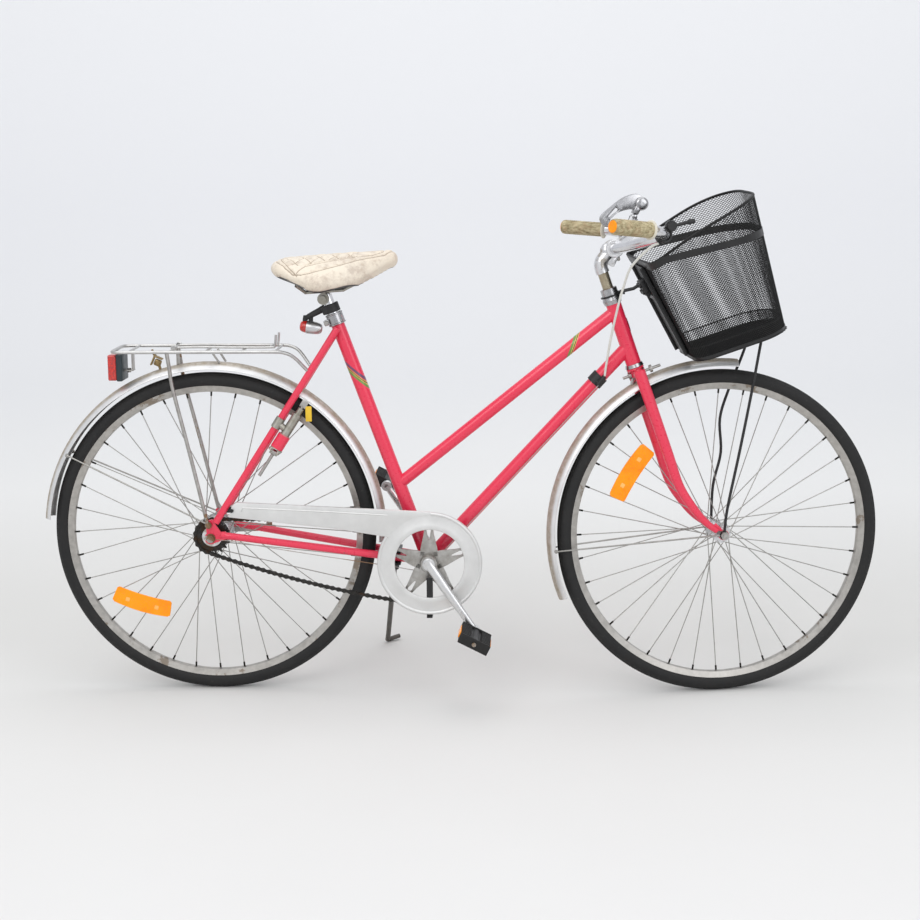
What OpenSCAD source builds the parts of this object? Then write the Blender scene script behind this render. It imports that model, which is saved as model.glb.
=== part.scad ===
// Step-through city bicycle leaning on its side stand, with mudguards, carrier, chainguard and basket.
// Every piece is drawn upright and steering straight ahead, with the rear tyre on the ground at the
// origin, +X forward and +Y to the rider's left. in_frame() and in_steering() then set it on its stand.

/* [Wheels] */
// Radius of a wheel over its tyre
wheel_r = 343; // [336:1:348]
// Radius of the tyre's round section
tyre_r = 16.5; // [15:0.5:19]
// Radius of the rim's outer edge
rim_r = 317.5; // [316:0.5:319]
// Distance between the two wheel axles
wheelbase = 1066; // [1055:1:1080]
// Number of spokes in each wheel
spokes = 36; // [32:4:36]
// Radius of the mudguards over their crest
guard_r = 366; // [364:1:370]

/* [Frame] */
// Angle of the head tube above the ground
head_angle = 71; // [70:0.5:72]
// Angle of the seat tube above the ground
seat_angle = 70; // [69:0.5:71]
// Radius of the seat tube and the down tube
main_tube_r = 14.3; // [13:0.1:16]
// Radius of the top tube
top_tube_r = 12.7; // [11:0.1:14]
// Distance of the front axle ahead of the steering axis
fork_rake = 55; // [50:1:60]

/* [Stance] */
// Sideways lean onto the stand
lean_angle = 3.3; // [2.5:0.1:4]
// Turn of the handlebar to the left as it stands
steer_angle = 8.5; // [0:0.5:12]

/* [Drive] */
// Length of a crank arm between its axes
crank_len = 170; // [165:1:175]
// Teeth on the chainring
ring_teeth = 46; // [44:1:46]
// Teeth on the rear sprocket
sprocket_teeth = 18; // [17:1:19]
// Angle of the right crank arm below the level, pointing forward
crank_angle = 55; // [40:0.1:60]

/* [Saddle and basket] */
// Height of the seat tube's top
seat_top_z = 800; // [790:1:804]
// Thickness of the basket's wall
basket_wall = 3; // [2:0.5:4]
// Half width of the basket's mouth
basket_half = 138; // [130:1:142]

/* [Hidden] */

pink = [0.90, 0.20, 0.33];
steel = [0.72, 0.73, 0.75];
black = [0.08, 0.08, 0.09];
$fn = 64;

// The stored origin: the middle of the footprint, on the ground
origin_x = 520;
origin_y = 57;

// ---- vectors and placing ----
function unit(v) = v / norm(v);
function turned(p, a, v) = p * cos(a) + cross(v, p) * sin(a) + v * (v * p) * (1 - cos(a));

head_dir = [-cos(head_angle), 0, sin(head_angle)];
rear_hub_at = [0, 0, wheel_r];
front_hub_at = [wheelbase, 0, wheel_r];
head_base = front_hub_at - fork_rake * [sin(head_angle), 0, cos(head_angle)];
function on_head(s) = head_base + s * head_dir;
function steered_p(p) = head_base + turned(p - head_base, steer_angle, head_dir);
function leaned_p(p) = turned(p, -lean_angle, [1, 0, 0]);

// How far the steered, leaning front tyre misses the ground, taken up by a small pitch of the whole
front_at = leaned_p(steered_p(front_hub_at));
front_spin = leaned_p(turned([0, 1, 0], steer_angle, head_dir));
front_low = front_at[2] - (wheel_r - tyre_r) * sqrt(1 - front_spin[2] * front_spin[2]) - tyre_r;
pitch = asin(front_low / wheelbase);
function ground_p(p) = turned(leaned_p(p), pitch, [0, 1, 0]) - [origin_x, origin_y, 0];
function steered_ground_p(p) = ground_p(steered_p(p));

module in_frame() {
    translate([-origin_x, -origin_y, 0]) rotate(a = pitch, v = [0, 1, 0])
        rotate([-lean_angle, 0, 0]) children();
}
module in_steering() {
    in_frame() translate(head_base) rotate(a = steer_angle, v = head_dir) translate(-head_base)
        children();
}

// ---- shapes that repeat ----
// Round bar from point a to point b
module rod(a, b, r, r_end = 0) {
    d = b - a;
    translate(a) rotate([0, acos(d[2] / norm(d)), atan2(d[1], d[0])])
        cylinder(h = norm(d), r1 = r, r2 = r_end > 0 ? r_end : r);
}
// Ring or disc across the bicycle, centred on c, from y0 to y1
module across(c, y0, y1, r) {
    translate([c[0], y1, c[2]]) rotate([90, 0, 0]) cylinder(h = y1 - y0, r = r);
}
// Flat outline in the plane of the bicycle, filling y0 to y1
module side_plate(y0, y1) {
    translate([0, y1, 0]) rotate([90, 0, 0]) linear_extrude(y1 - y0) children();
}
// The same thing on the right side and on the left side
module both_sides() {
    children();
    mirror([0, 1, 0]) children();
}
// Smooth curve through points p, with n steps in each span
function bend(a, b, c, d, t) = 0.5 * (2 * b + (c - a) * t + (2 * a - 5 * b + 4 * c - d) * t * t
    + (3 * b - a - 3 * c + d) * t * t * t);
function curve(p, n) = let (last = len(p) - 1) concat(
    [for (i = [0 : last - 1], k = [0 : n - 1])
        bend(p[max(i - 1, 0)], p[i], p[i + 1], p[min(i + 2, last)], k / n)], [p[last]]);
// Tube swept along points p; its radius runs from r[0] to r[1]
module sweep(p, r, sides = 12, ref = [0, 0, 1]) {
    n = len(p);
    function along(i) = unit(p[min(i + 1, n - 1)] - p[max(i - 1, 0)]);
    function ring(i) = let (t = along(i), u = unit(cross(ref, t)), v = cross(t, u),
        q = r[0] + (r[1] - r[0]) * i / (n - 1))
        [for (k = [0 : sides - 1]) p[i] + q * (cos(360 * k / sides) * u + sin(360 * k / sides) * v)];
    function at(i, k) = i * sides + k % sides;
    polyhedron([for (i = [0 : n - 1]) each ring(i)], concat(
        [[for (k = [0 : sides - 1]) k]],
        [[for (k = [sides - 1 : -1 : 0]) at(n - 1, k)]],
        [for (i = [0 : n - 2], k = [0 : sides - 1]) [at(i, k), at(i + 1, k), at(i + 1, k + 1)]],
        [for (i = [0 : n - 2], k = [0 : sides - 1]) [at(i, k), at(i + 1, k + 1), at(i, k + 1)]]));
}

// ---- places on the frame ----
bb = [457, 0, 287];
seat_dir = [-cos(seat_angle), 0, sin(seat_angle)];
seat_foot = [451, 0, 287];
function on_seat_z(z) = seat_foot + seat_dir * (z - seat_foot[2]) / seat_dir[2];
seat_top = on_seat_z(seat_top_z);
bb_half = 34;
post_r = 12.7;
running = 0.05;
dropout_in = 60;
dropout_out = 65;
head_low = 397;
head_high = 529;
steerer_r = 12.7;
quill_r = 11.1;
eyelet = [-3, 0, 372];
chain_y = -46;
ring_r = 12.7 / 2 / sin(180 / ring_teeth);
sprocket_r = 12.7 / 2 / sin(180 / sprocket_teeth);

module main_frame() {
    color(pink) in_frame() difference() {
        union() {
            rod(on_head(head_low), on_head(head_high), 16);
            rod(seat_foot, seat_top, main_tube_r);
            rod(bb, [874, 0, 737], main_tube_r);
            rod([390, 0, 444], [847, 0, 810], top_tube_r);
            across(bb, -bb_half, bb_half, 20);
        }
        rod(on_head(head_low - 1), on_head(head_high + 1), 14);
        rod(seat_top - 235 * seat_dir, seat_top + seat_dir, post_r + running);
        across(bb, -bb_half - 1, bb_half + 1, 17);
    }
}
module chain_stays() {
    color(pink) in_frame() {
        both_sides() {
            rod([438, -22, 286], [22, -62, 349], 8.5, 7.5);
            side_plate(-dropout_out, -dropout_in) difference() {
                union() {
                    translate([0, wheel_r]) circle(r = 13);
                    polygon([[-4, wheel_r + 12], [32, wheel_r + 14], [32, wheel_r - 2], [0, wheel_r - 13]]);
                    polygon([[-10, 380], [4, 383], [22, 355], [-8, 350]]);
                }
                translate([-20, wheel_r - 5.2]) square([20, 10.4]);
                translate([0, wheel_r]) circle(r = 5.2);
                translate([eyelet[0], eyelet[2]]) circle(r = 2.6);
            }
        }
        rod([402, -30, 291.5], [402, 30, 291.5], 5);
    }
}
stay_top = [271, -20.6, 779];
module seat_stays() {
    color(pink) in_frame() {
        both_sides() rod(stay_top, [11, -62.5, 376], 7.5);
        rod([229.5, -27, 714], [229.5, 27, 714], 5);
    }
}
module bb_cups() {
    color(steel) in_frame() both_sides() difference() {
        union() {
            across(bb, -bb_half, -bb_half + 12, 17);
            across(bb, -bb_half - 4, -bb_half, 19);
        }
        across(bb, -bb_half - 5, -bb_half + 13, 8 + running);
    }
}
module headset_cups() {
    color(steel) in_frame() {
        difference() {
            union() {
                rod(on_head(head_high), on_head(head_high + 8), 18, 20);
                rod(on_head(head_high - 10), on_head(head_high + 2), 14);
            }
            rod(on_head(head_high - 11), on_head(head_high + 9), steerer_r + running);
        }
        difference() {
            union() {
                rod(on_head(head_low - 7), on_head(head_low), 20, 18);
                rod(on_head(head_low - 2), on_head(head_low + 10), 14);
            }
            rod(on_head(head_low - 8), on_head(head_low + 11), steerer_r + running);
        }
    }
}
module seat_clamp() {
    grip = seat_top - 3.5 * seat_dir;
    color(steel) in_frame() difference() {
        union() {
            rod(grip - 12.5 * seat_dir, grip + 12.5 * seat_dir, 18.5);
            translate(grip + [-25, -12, -7]) rotate([0, -20, 0]) cube([18, 24, 11]);
            rod(grip + [-24, -17, -4], grip + [-24, 17, -4], 5);
        }
        rod(grip - 40 * seat_dir, seat_top, main_tube_r);
        rod(seat_top - seat_dir, grip + 60 * seat_dir, post_r + running);
        translate(grip + [-40, -1, -30]) cube([26, 2, 60]);
    }
}

// ---- mudguards ----
guard_arc = 26;
guard_half = 62;
// Thin arched strip around a wheel, from angle a0 over the angle span
module mudguard(hub, a0, span) {
    mid = guard_r - guard_arc;
    translate(hub) rotate([90, 0, 0]) rotate([0, 0, a0]) rotate_extrude(angle = span)
        intersection() {
            translate([mid, 0]) difference() {
                circle(r = guard_arc);
                circle(r = guard_arc - 1.2);
            }
            translate([mid + guard_arc * cos(guard_half), -30]) square([30, 60]);
        }
}
// Pair of wires from an eye by the hub to the mudguard's edges at angle a
module guard_stays(hub, from, a) {
    rim = guard_r - guard_arc * (1 - cos(guard_half)) - 2;
    both_sides() {
        rod(from, hub + [rim * cos(a), -25.2, rim * sin(a)], 1.7);
        across(hub + [rim * cos(a), 0, rim * sin(a)], -26.6, -22.6, 4);
    }
}
module rear_mudguard() {
    color(steel) in_frame() mudguard(rear_hub_at, -3, 178);
}
module rear_mudguard_stays() {
    color(steel) in_frame() {
        guard_stays(rear_hub_at, [eyelet[0], -66.4, eyelet[2]], 151);
        both_sides() across(eyelet, -68, -dropout_out, 5);
    }
}
module front_mudguard() {
    color(steel) in_steering() mudguard(front_hub_at, 84, 118);
}
module front_mudguard_stays() {
    color(steel) in_steering() {
        guard_stays(front_hub_at, front_hub_at + [-8, -55, 0], 185);
        both_sides() difference() {
            across(front_hub_at, -56, -54, 10);
            across(front_hub_at, -57, -53, 4.9);
        }
    }
}

// ---- carrier ----
rail_y = 61;
rail_z = 735;
rail_end = -196;
clip_at = [-70, 0, rail_z + 5.3];
module rack() {
    half = [[207, -32, 693], [196, -42, 708], [180, -54, 728], [160, -rail_y, rail_z],
        [60, -rail_y, rail_z], [-60, -rail_y, rail_z], [-165, -rail_y, rail_z],
        [-186, -59, rail_z], [-195, -48, rail_z], [rail_end, -20, rail_z], [rail_end, 0, rail_z]];
    loop = concat(half, [for (i = [len(half) - 2 : -1 : 0]) [half[i][0], -half[i][1], half[i][2]]]);
    color(steel) in_frame() {
        sweep(curve(loop, 3), [3.5, 3.5], 8);
        for (x = [-160, -75, 0, 75, 145]) rod([x, -rail_y, rail_z], [x, rail_y, rail_z], 2.5);
        both_sides() difference() {
            across(clip_at, -35, -30, 5);
            across(clip_at, -36, -29, 2.5 + running);
        }
    }
}
module rack_stays() {
    color(steel) in_frame() {
        both_sides() {
            rod([-79, -rail_y - 0.5, rail_z - 3], [-68, -63, 655], 4);
            translate([-68, -63, 655]) sphere(r = 4.2);
            rod([-68, -63, 655], [eyelet[0] - 1, -70.5, eyelet[2]], 4);
            across(eyelet, -73, -68.1, 7);
        }
        // Straps from the carrier down to the crest of the mudguard
        for (x = [-112, -70, 26])
            translate([x - 6, -2, wheel_r + sqrt(guard_r * guard_r - x * x) - 6])
                cube([12, 4, rail_z - wheel_r - sqrt(guard_r * guard_r - x * x) + 8]);
    }
}
module rack_clip() {
    color(steel) in_frame() {
        both_sides() {
            rod([-70, -24, rail_z + 5.3], [140, -24, rail_z + 5.3], 2.5);
            rod([140, -24, rail_z + 3.5], [143, -24, rail_z + 32], 2.5);
        }
        across(clip_at, -35.5, 35.5, 2.5);
        rod([130, -24, rail_z + 5.3], [130, 24, rail_z + 5.3], 2.2);
    }
}
module tail_reflector() {
    color([0.8, 0.08, 0.05]) in_frame() {
        translate([-211, -30, 670]) cube([16, 60, 57]);
        translate([-195, -26, 673]) cube([10, 52, 50]);
        translate([-185, -12, 690]) cube([22, 24, 3]);
        translate([-166, -12, 690]) cube([3, 24, rail_z - 690 - 2.4]);
    }
}

// ---- chainguard and chain ----
guard_y = -64;
disc_at = [459, 0, 288];
disc_r = 110;
module chainguard() {
    color([0.82, 0.82, 0.84]) in_frame() {
        side_plate(guard_y - 1.5, guard_y) difference() {
            chainguard_outline(0);
            translate([disc_at[0], disc_at[2]]) circle(r = 73);
        }
        side_plate(guard_y, guard_y + 7) difference() {
            chainguard_outline(0);
            chainguard_outline(1.5);
            translate([0, 100]) square([disc_at[0], 288]);
        }
    }
}
// Long tapering strip joined to a disc, drawn smaller all round by d
module chainguard_outline(d) {
    translate([disc_at[0], disc_at[2]]) circle(r = disc_r - d);
    polygon([[39 + d, 388 + d], [47 + d, 412 - d], [56 + d, 419.5 - d], [disc_at[0] + 6, disc_at[2] + disc_r - d],
        [disc_at[0], disc_at[2]], [370, 346 + d], [261, 364 + d]]);
}
module chainguard_straps() {
    color(black) in_frame() {
        translate([452, guard_y + 0.2, 172]) cube([12, 2, 85]);
        // It runs back under the chain and up to the bottom bracket
        translate([452, -40.5, 172]) cube([12, 2, 95]);
        translate([452, guard_y + 0.2, 172]) cube([12, 25.3, 3]);
        translate([452, guard_y - 4.8, 172]) cube([12, 5, 3]);
        difference() {
            across(bb, -42, -38.2, 24);
            across(bb, -43, -38, 19.5);
            translate([430, -44, 288]) cube([60, 8, 30]);
        }
        rod([46, guard_y - 4.5, 402], [46, -57, 402], 4);
        translate([22, -57, 396]) cube([28, 2.5, 12]);
    }
}
// Tangent line of the two chain wheels, as its angle on the sprocket and on the ring
chain_gap = norm(bb - rear_hub_at);
chain_slope = atan2(bb[2] - rear_hub_at[2], bb[0] - rear_hub_at[0]);
chain_fan = acos((ring_r - sprocket_r) / chain_gap);
top_a = chain_slope + 180 - chain_fan;
low_a = chain_slope - 180 + chain_fan;
chain_sag = 12;
function chain_wheel(c, r, a) = [c[0] + r * cos(a), c[2] + r * sin(a)];
// Closed path of the chain, d outside its pitch line
function chain_path(d) = concat(
    [for (i = [0 : 10]) chain_wheel(rear_hub_at, sprocket_r + d, top_a + (low_a + 360 - top_a) * i / 10)],
    [for (i = [1 : 9]) let (f = i / 10)
        (1 - f) * chain_wheel(rear_hub_at, sprocket_r + d, low_a)
        + f * chain_wheel(bb, ring_r + d, low_a) - [0, 4 * chain_sag * f * (1 - f)]],
    [for (i = [0 : 22]) chain_wheel(bb, ring_r + d, low_a + (top_a - low_a) * i / 22)]);
module chain() {
    color([0.15, 0.14, 0.13]) in_frame() {
        for (y = [chain_y - 4.2, chain_y + 3]) side_plate(y, y + 1.2) difference() {
            polygon(chain_path(4.2));
            polygon(chain_path(-4.2));
        }
        for (side = [top_a, low_a]) {
            a = chain_wheel(rear_hub_at, sprocket_r, side);
            b = chain_wheel(bb, ring_r, side);
            for (i = [2 : 15]) let (f = i * 25.4 / norm(b - a),
                q = (1 - f) * a + f * b - [0, side == low_a ? 4 * chain_sag * f * (1 - f) : 0])
                across([q[0], 0, q[1]], chain_y - 3, chain_y + 3, 2.2);
        }
    }
}
// Toothed disc on the chain line, with bore or hub added by the caller
module chain_disc(teeth, r) {
    circle(r = r - 4);
    for (i = [0 : teeth - 1]) rotate(360 / teeth * i)
        polygon([[r - 6, -3.2], [r + 2.2, -1.4], [r + 2.2, 1.4], [r - 6, 3.2]]);
}
module rear_sprocket() {
    color(black) in_frame() translate(rear_hub_at) difference() {
        rotate([90, 0, 0]) translate([0, 0, -chain_y - 1.1]) linear_extrude(2.2)
            chain_disc(sprocket_teeth, sprocket_r);
        across([0, 0, 0], -60, -30, 21.05);
    }
}

// ---- rear hub and what sits beside it ----
module rear_axle() {
    color(steel) in_frame() {
        across(rear_hub_at, -77, 87, 4.9);
        both_sides() {
            across(rear_hub_at, -67.5, -dropout_out, 10);
            translate([0, -75, wheel_r]) rotate([90, 0, 0]) translate([0, 0, -7.4])
                cylinder(h = 7.4, r = 8.6, $fn = 6);
        }
        across(rear_hub_at, -dropout_in, -50, 9);
        across(rear_hub_at, 51, 56, 9);
    }
}
module brake_arm() {
    color(steel) in_frame() {
        side_plate(56, 59.5) difference() {
            union() {
                translate([0, wheel_r]) circle(r = 17);
                polygon([[4, wheel_r + 15], [120, 344], [120, 333], [0, wheel_r - 14]]);
            }
            translate([0, wheel_r]) circle(r = 4.95);
        }
        // Clip that ties the arm to the left chain stay
        translate([100, 56, 330]) cube([12, 3.5, 22]);
    }
}
module rear_hub() {
    color(steel) in_frame() difference() {
        union() {
            across(rear_hub_at, -38, 38, 27);
            across(rear_hub_at, -31.5, -26.5, 35);
            across(rear_hub_at, 26.5, 31.5, 35);
            across(rear_hub_at, 38, 50.5, 20);
            across(rear_hub_at, -49.5, -38, 21);
        }
        across(rear_hub_at, -52, 52, 4.95);
    }
}
module front_hub() {
    color(steel) in_steering() difference() {
        union() {
            across(front_hub_at, -36, 36, 11);
            across(front_hub_at, -33.5, -28.5, 20);
            across(front_hub_at, 28.5, 33.5, 20);
        }
        across(front_hub_at, -37, 37, 4.85);
    }
}
module front_axle() {
    color(steel) in_steering() {
        across(front_hub_at, -69, 69, 4.8);
        both_sides() {
            across(front_hub_at, -50, -36.5, 9);
            translate([wheelbase, -66.5, wheel_r]) rotate([90, 0, 0]) translate([0, 0, -8])
                cylinder(h = 8, r = 8.6, $fn = 6);
        }
    }
}

// ---- wheels ----
module tyre(hub) {
    mid = wheel_r - tyre_r;
    translate(hub) rotate([90, 0, 0]) rotate_extrude() difference() {
        translate([mid, 0]) circle(r = tyre_r);
        translate([mid, 0]) circle(r = tyre_r - 3.5);
        translate([mid - tyre_r - 1, -30]) square([tyre_r - 12, 60]);
        translate([mid - tyre_r - 1, -8]) square([10, 16]);
    }
}
module rim(hub) {
    translate(hub) rotate([90, 0, 0]) rotate_extrude() polygon([[303, -8], [rim_r, -12.5],
        [rim_r, -10.5], [307, -7], [306, 0], [307, 7], [rim_r, 10.5], [rim_r, 12.5], [303, 8], [301, 0]]);
}
// Tangent-laced spokes: neighbours lean opposite ways and go to opposite flanges
module spoke_set(hub, flange_y, flange_r) {
    translate(hub) for (i = [0 : spokes - 1]) {
        side = i % 2 == 0 ? -1 : 1;
        lace = floor(i / 2) % 2 == 0 ? 1 : -1;
        a = 360 / spokes * i;
        b = a + 60 * lace;
        from = [flange_r * cos(b), side * flange_y + 2.2 * lace, flange_r * sin(b)];
        to = [304 * cos(a), side * 2, 304 * sin(a)];
        rod(from, to, 1);
        rod(to - 12 * unit(to - from), to, 2);
    }
}
// Curved bar reflector clipped on the spokes, centred at c and turned by a
module spoke_reflector(hub, c, a, long, wide) {
    translate(hub + c) rotate([0, -a, 0]) {
        translate([-long / 2, -17, -wide / 2]) cube([long, 6, wide]);
        for (x = [-long / 4, long / 4]) translate([x - 4, -11, -5]) cube([8, 7, 10]);
    }
}
module front_tyre() { color(black) in_steering() tyre(front_hub_at); }
module front_rim() { color(steel) in_steering() rim(front_hub_at); }
module front_spokes() { color(steel) in_steering() spoke_set(front_hub_at, 31, 17); }
module front_wheel_reflector() {
    color("orange") in_steering() spoke_reflector(front_hub_at, [-188, 0, 130], 57, 127, 34);
}
module rear_tyre() { color(black) in_frame() tyre(rear_hub_at); }
module rear_rim() { color(steel) in_frame() rim(rear_hub_at); }
module rear_spokes() { color(steel) in_frame() spoke_set(rear_hub_at, 29, 31); }
module rear_wheel_reflector() {
    color("orange") in_frame() spoke_reflector(rear_hub_at, [-161, 0, -152], -16.7, 127, 32);
}

// ---- cranks and pedals ----
crank_tip = bb + crank_len * [cos(crank_angle), 0, -sin(crank_angle)];
far_tip = 2 * bb - crank_tip;
module right_crank() {
    color(steel) in_frame() difference() {
        union() {
            // Chainring, spider with five arms, and the hub they meet on
            translate(bb) rotate([90, 0, 0]) translate([0, 0, -chain_y - 1.1]) linear_extrude(2.2) difference() {
                chain_disc(ring_teeth, ring_r);
                circle(r = 78);
            }
            translate(bb) rotate([90, 0, 0]) translate([0, 0, -chain_y]) linear_extrude(4)
                for (i = [0 : 4]) rotate(90 + 72 * i) difference() {
                    polygon([[14, -15], [84, -7], [84, 7], [14, 15]]);
                    polygon([[52, -4], [76, -3], [76, 3], [52, 4]]);
                }
            across(bb, -64, chain_y, 17);
            across(bb, -86, -64, 15);
            rod([bb[0], -78, bb[2]] + 10 * unit(crank_tip - bb), [crank_tip[0], -82, crank_tip[2]], 10, 7.5);
            across(crank_tip, -90, -75, 11);
            across(crank_tip, -186, -88, 4.5);
        }
        across(bb, -80, chain_y + 1, 8);
    }
}
module left_crank() {
    color(steel) in_frame() {
        across(bb, -79.5, 76, 8);
        across(bb, 58, 86, 15);
        rod([bb[0], 78, bb[2]] + 10 * unit(far_tip - bb), [far_tip[0], 82, far_tip[2]], 10, 7.5);
        across(far_tip, 75, 90, 11);
        across(far_tip, 88, 186, 4.5);
    }
}
module pedal(at, y0) {
    translate([at[0], y0, at[2]]) rotate([0, 27, 0]) difference() {
        union() {
            for (x = [-33, 15]) translate([x, 0, -11]) cube([18, 92, 22]);
            for (y = [0, 40, 84]) translate([-33, y, -9]) cube([66, 8, 18]);
            for (x = [-35, 33]) translate([x, 20, -7]) cube([2, 52, 14]);
        }
        translate([0, -1, 0]) rotate([-90, 0, 0]) cylinder(h = 94, r = 4.55);
    }
}
module right_pedal() { color(black) in_frame() pedal(crank_tip, -183); }
module left_pedal() { color(black) in_frame() pedal(far_tip, 91); }

// ---- saddle ----
tilt_at = [243, 0, 840];
module seatpost() {
    color(steel) in_frame() difference() {
        union() {
            rod(seat_top - 205 * seat_dir, on_seat_z(828), post_r);
            rod(on_seat_z(825), on_seat_z(846), 11);
            across(tilt_at, -13, 13, 11);
        }
        across(tilt_at, -14, 14, 4.05);
    }
}
module saddle_frame() {
    color([0.3, 0.3, 0.31]) in_frame() {
        both_sides() {
            rod([190, -44, 869], [207, -22, 853], 3.5);
            rod([205, -22, 853], [285, -20, 858], 3.5);
            rod([283, -20, 857], [372, -8, 902], 3.5);
            rod([243, -20, 842], [243, -20, 856], 5);
            across(tilt_at, -26, -13.3, 12);
        }
        across(tilt_at, -31, 31, 4);
        both_sides() across(tilt_at, -33, -26, 7);
    }
}
module saddle_pad() {
    color([0.9, 0.86, 0.76]) in_frame() difference() {
        hull() {
            translate([168, 0, 902]) scale([36, 66, 22]) sphere(r = 1, $fn = 32);
            for (y = [-40, 40]) translate([172, y, 898]) scale([32, 30, 20]) sphere(r = 1, $fn = 24);
            for (y = [-78, 78]) translate([238, y, 872]) scale([30, 26, 20]) sphere(r = 1, $fn = 24);
            for (y = [-44, 44]) translate([304, y, 885]) scale([26, 20, 20]) sphere(r = 1, $fn = 24);
            translate([380, 0, 918]) scale([20, 22, 21]) sphere(r = 1, $fn = 24);
        }
        hull() for (q = [[238, -58, 846, 14], [238, 58, 846, 14], [196, -34, 862, 14], [196, 34, 862, 14],
            [376, 0, 897, 10]]) translate([q[0], q[1], q[2]]) sphere(r = q[3], $fn = 16);
    }
}
module tail_lamp() {
    clamp_at = on_seat_z(819);
    color(black) in_frame() {
        difference() {
            rod(clamp_at - 9.3 * seat_dir, clamp_at + 9.3 * seat_dir, 17);
            rod(clamp_at - 10 * seat_dir, clamp_at + 10 * seat_dir, post_r);
        }
        rod(clamp_at + [-15, 0, -1], [203, 0, 797], 6, 4.5);
        rod([236.5, 0, 775], [205, 0, 780], 11.3, 14);
        rod([206, 0, 779.8], [190, 0, 782.3], 13.5, 10);
        rod([214, 0, 786], [214, 0, 802], 4);
    }
}

// ---- stand ----
stand_pivot = [376, 46, 262];
stand_knee = [340 - origin_x, 288 - origin_y, 5.8];
stand_toe = [366 - origin_x, 304 - origin_y, 9.4];
stand_top = ground_p(stand_pivot);
stand_down = unit(stand_knee - stand_top);
stand_folded = unit([-0.99, 0.13, 0.02]);
stand_axis = unit(cross(stand_down, stand_folded));
module kickstand_bracket() {
    color(black) {
        difference() {
            union() {
                rod(stand_top - 9 * stand_axis, stand_top + 9 * stand_axis, 12);
                in_frame() rod([380, 24, 280], [376, 40, 266], 9);
            }
            rod(stand_top - 16 * stand_axis, stand_top + 10 * stand_axis, 6 + running);
        }
        in_frame() {
            translate([366, -34, 278]) cube([30, 68, 4]);
            translate([366, -34, 303]) cube([30, 68, 4]);
            across([381, 0, 290], -5, 5, 14);
        }
    }
}
module kickstand() {
    eye = stand_top + 16.5 * stand_axis;
    color(black) {
        rod(stand_top - 8 * stand_axis, stand_top + 10 * stand_axis, 6);
        rod(stand_top + 9.4 * stand_axis, stand_top + 22 * stand_axis, 11);
        sweep(curve([eye, eye + 0.5 * (stand_knee - eye), stand_knee - 25 * stand_down,
            stand_knee, 0.5 * (stand_knee + stand_toe), stand_toe], 3), [6, 4.8], 12, [1, 0, 0]);
    }
}

// ---- ring of small fittings ----
stay_dir = unit(stay_top - [11, -62.5, 376]);
stay_mid = [145.2, -40.9, 584];
lock_at = [150, -47, 545];
arm_axis = unit(cross(stay_dir, [0, 1, 0]));
arm_at = lock_at - 26 * stay_dir;
module lock_housing() {
    color(pink) in_frame() difference() {
        union() {
            rod(lock_at - 17 * stay_dir, lock_at + 17 * stay_dir, 13);
            rod(lock_at + 16 * stay_dir, lock_at + 68 * stay_dir, 9.8);
            rod(lock_at + 67 * stay_dir, lock_at + 82 * stay_dir, 6.5);
            // Two ears that hold the arm's pin, and a clamp around the stay
            for (e = [-10, 6]) rod(lock_at - 15 * stay_dir + e * arm_axis, arm_at + e * arm_axis + 4 * arm_axis, 5);
            rod(arm_at - 9 * arm_axis, arm_at + 9 * arm_axis, 5.5);
            rod(stay_mid - 12 * stay_dir, stay_mid + 12 * stay_dir, 10);
            rod(stay_mid, lock_at + 26 * stay_dir, 7);
        }
        rod(stay_mid - 40 * stay_dir, stay_mid + 40 * stay_dir, 7.5);
        rod(arm_at - 10 * arm_axis, arm_at + 10 * arm_axis, 3.05);
        rod(arm_at - 5.2 * arm_axis, arm_at + 5.2 * arm_axis, 9.5);
        rod(lock_at + 66 * stay_dir, lock_at + 83 * stay_dir, 3.05);
    }
}
// Arm that swings in between the spokes when the bicycle is locked
module lock_arm() {
    color(steel) in_frame() {
        rod(arm_at - 8.5 * arm_axis, arm_at + 8.5 * arm_axis, 3);
        rod(arm_at - 4.6 * arm_axis, arm_at + 4.6 * arm_axis, 6.5);
        rod(arm_at, arm_at - 58 * stay_dir, 3.5);
    }
}
module lock_key() {
    tip = lock_at + 90 * stay_dir;
    color([0.85, 0.75, 0.1]) in_frame() {
        rod(lock_at + 70 * stay_dir, lock_at + 86 * stay_dir, 3);
        translate(tip) rotate([0, 33, 0]) translate([-7, -1.2, -5]) cube([14, 2.4, 16]);
        translate(tip + [4, -1.5, -34]) cube([13, 3, 32]);
    }
}
module cable_stop() {
    at = [824, -18, 676];
    color(black) in_frame() {
        difference() {
            rod([802, 0, 659.6], [817, 0, 675.8], 17);
            rod([800, 0, 657.5], [819, 0, 678], main_tube_r);
        }
        rod(at + [-14, 0, -18], at, 5);
        rod([808, -15, 664], at + [-10, 0, -12], 4);
    }
}
module gear_wire() {
    wire = [[812, -18, 658], [700, -17, 536], [560, -17, 384], [486, -21, 304], [470, -25, 271],
        [440, -30, 264], [380, -38, 276], [240, -49, 300], [120, -60, 322], [60, -70, 336], [12, -77, 343]];
    color(steel) in_frame() sweep(curve(wire, 2), [0.8, 0.8], 8);
}
module gear_cable() {
    from = [893.5, -198, 949.6];
    route = [steered_ground_p(from), steered_ground_p(from + [-16, 11, -9]),
        steered_ground_p([849, -152, 904]), ground_p([857, -105, 868]), ground_p([847, -85, 826]),
        ground_p([835, -50, 759]), ground_p([827, -22, 700]), ground_p([824.3, -18, 677])];
    color("white") sweep(curve(route, 4), [2.5, 2.5], 8, [1, 0, 0]);
}

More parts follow.
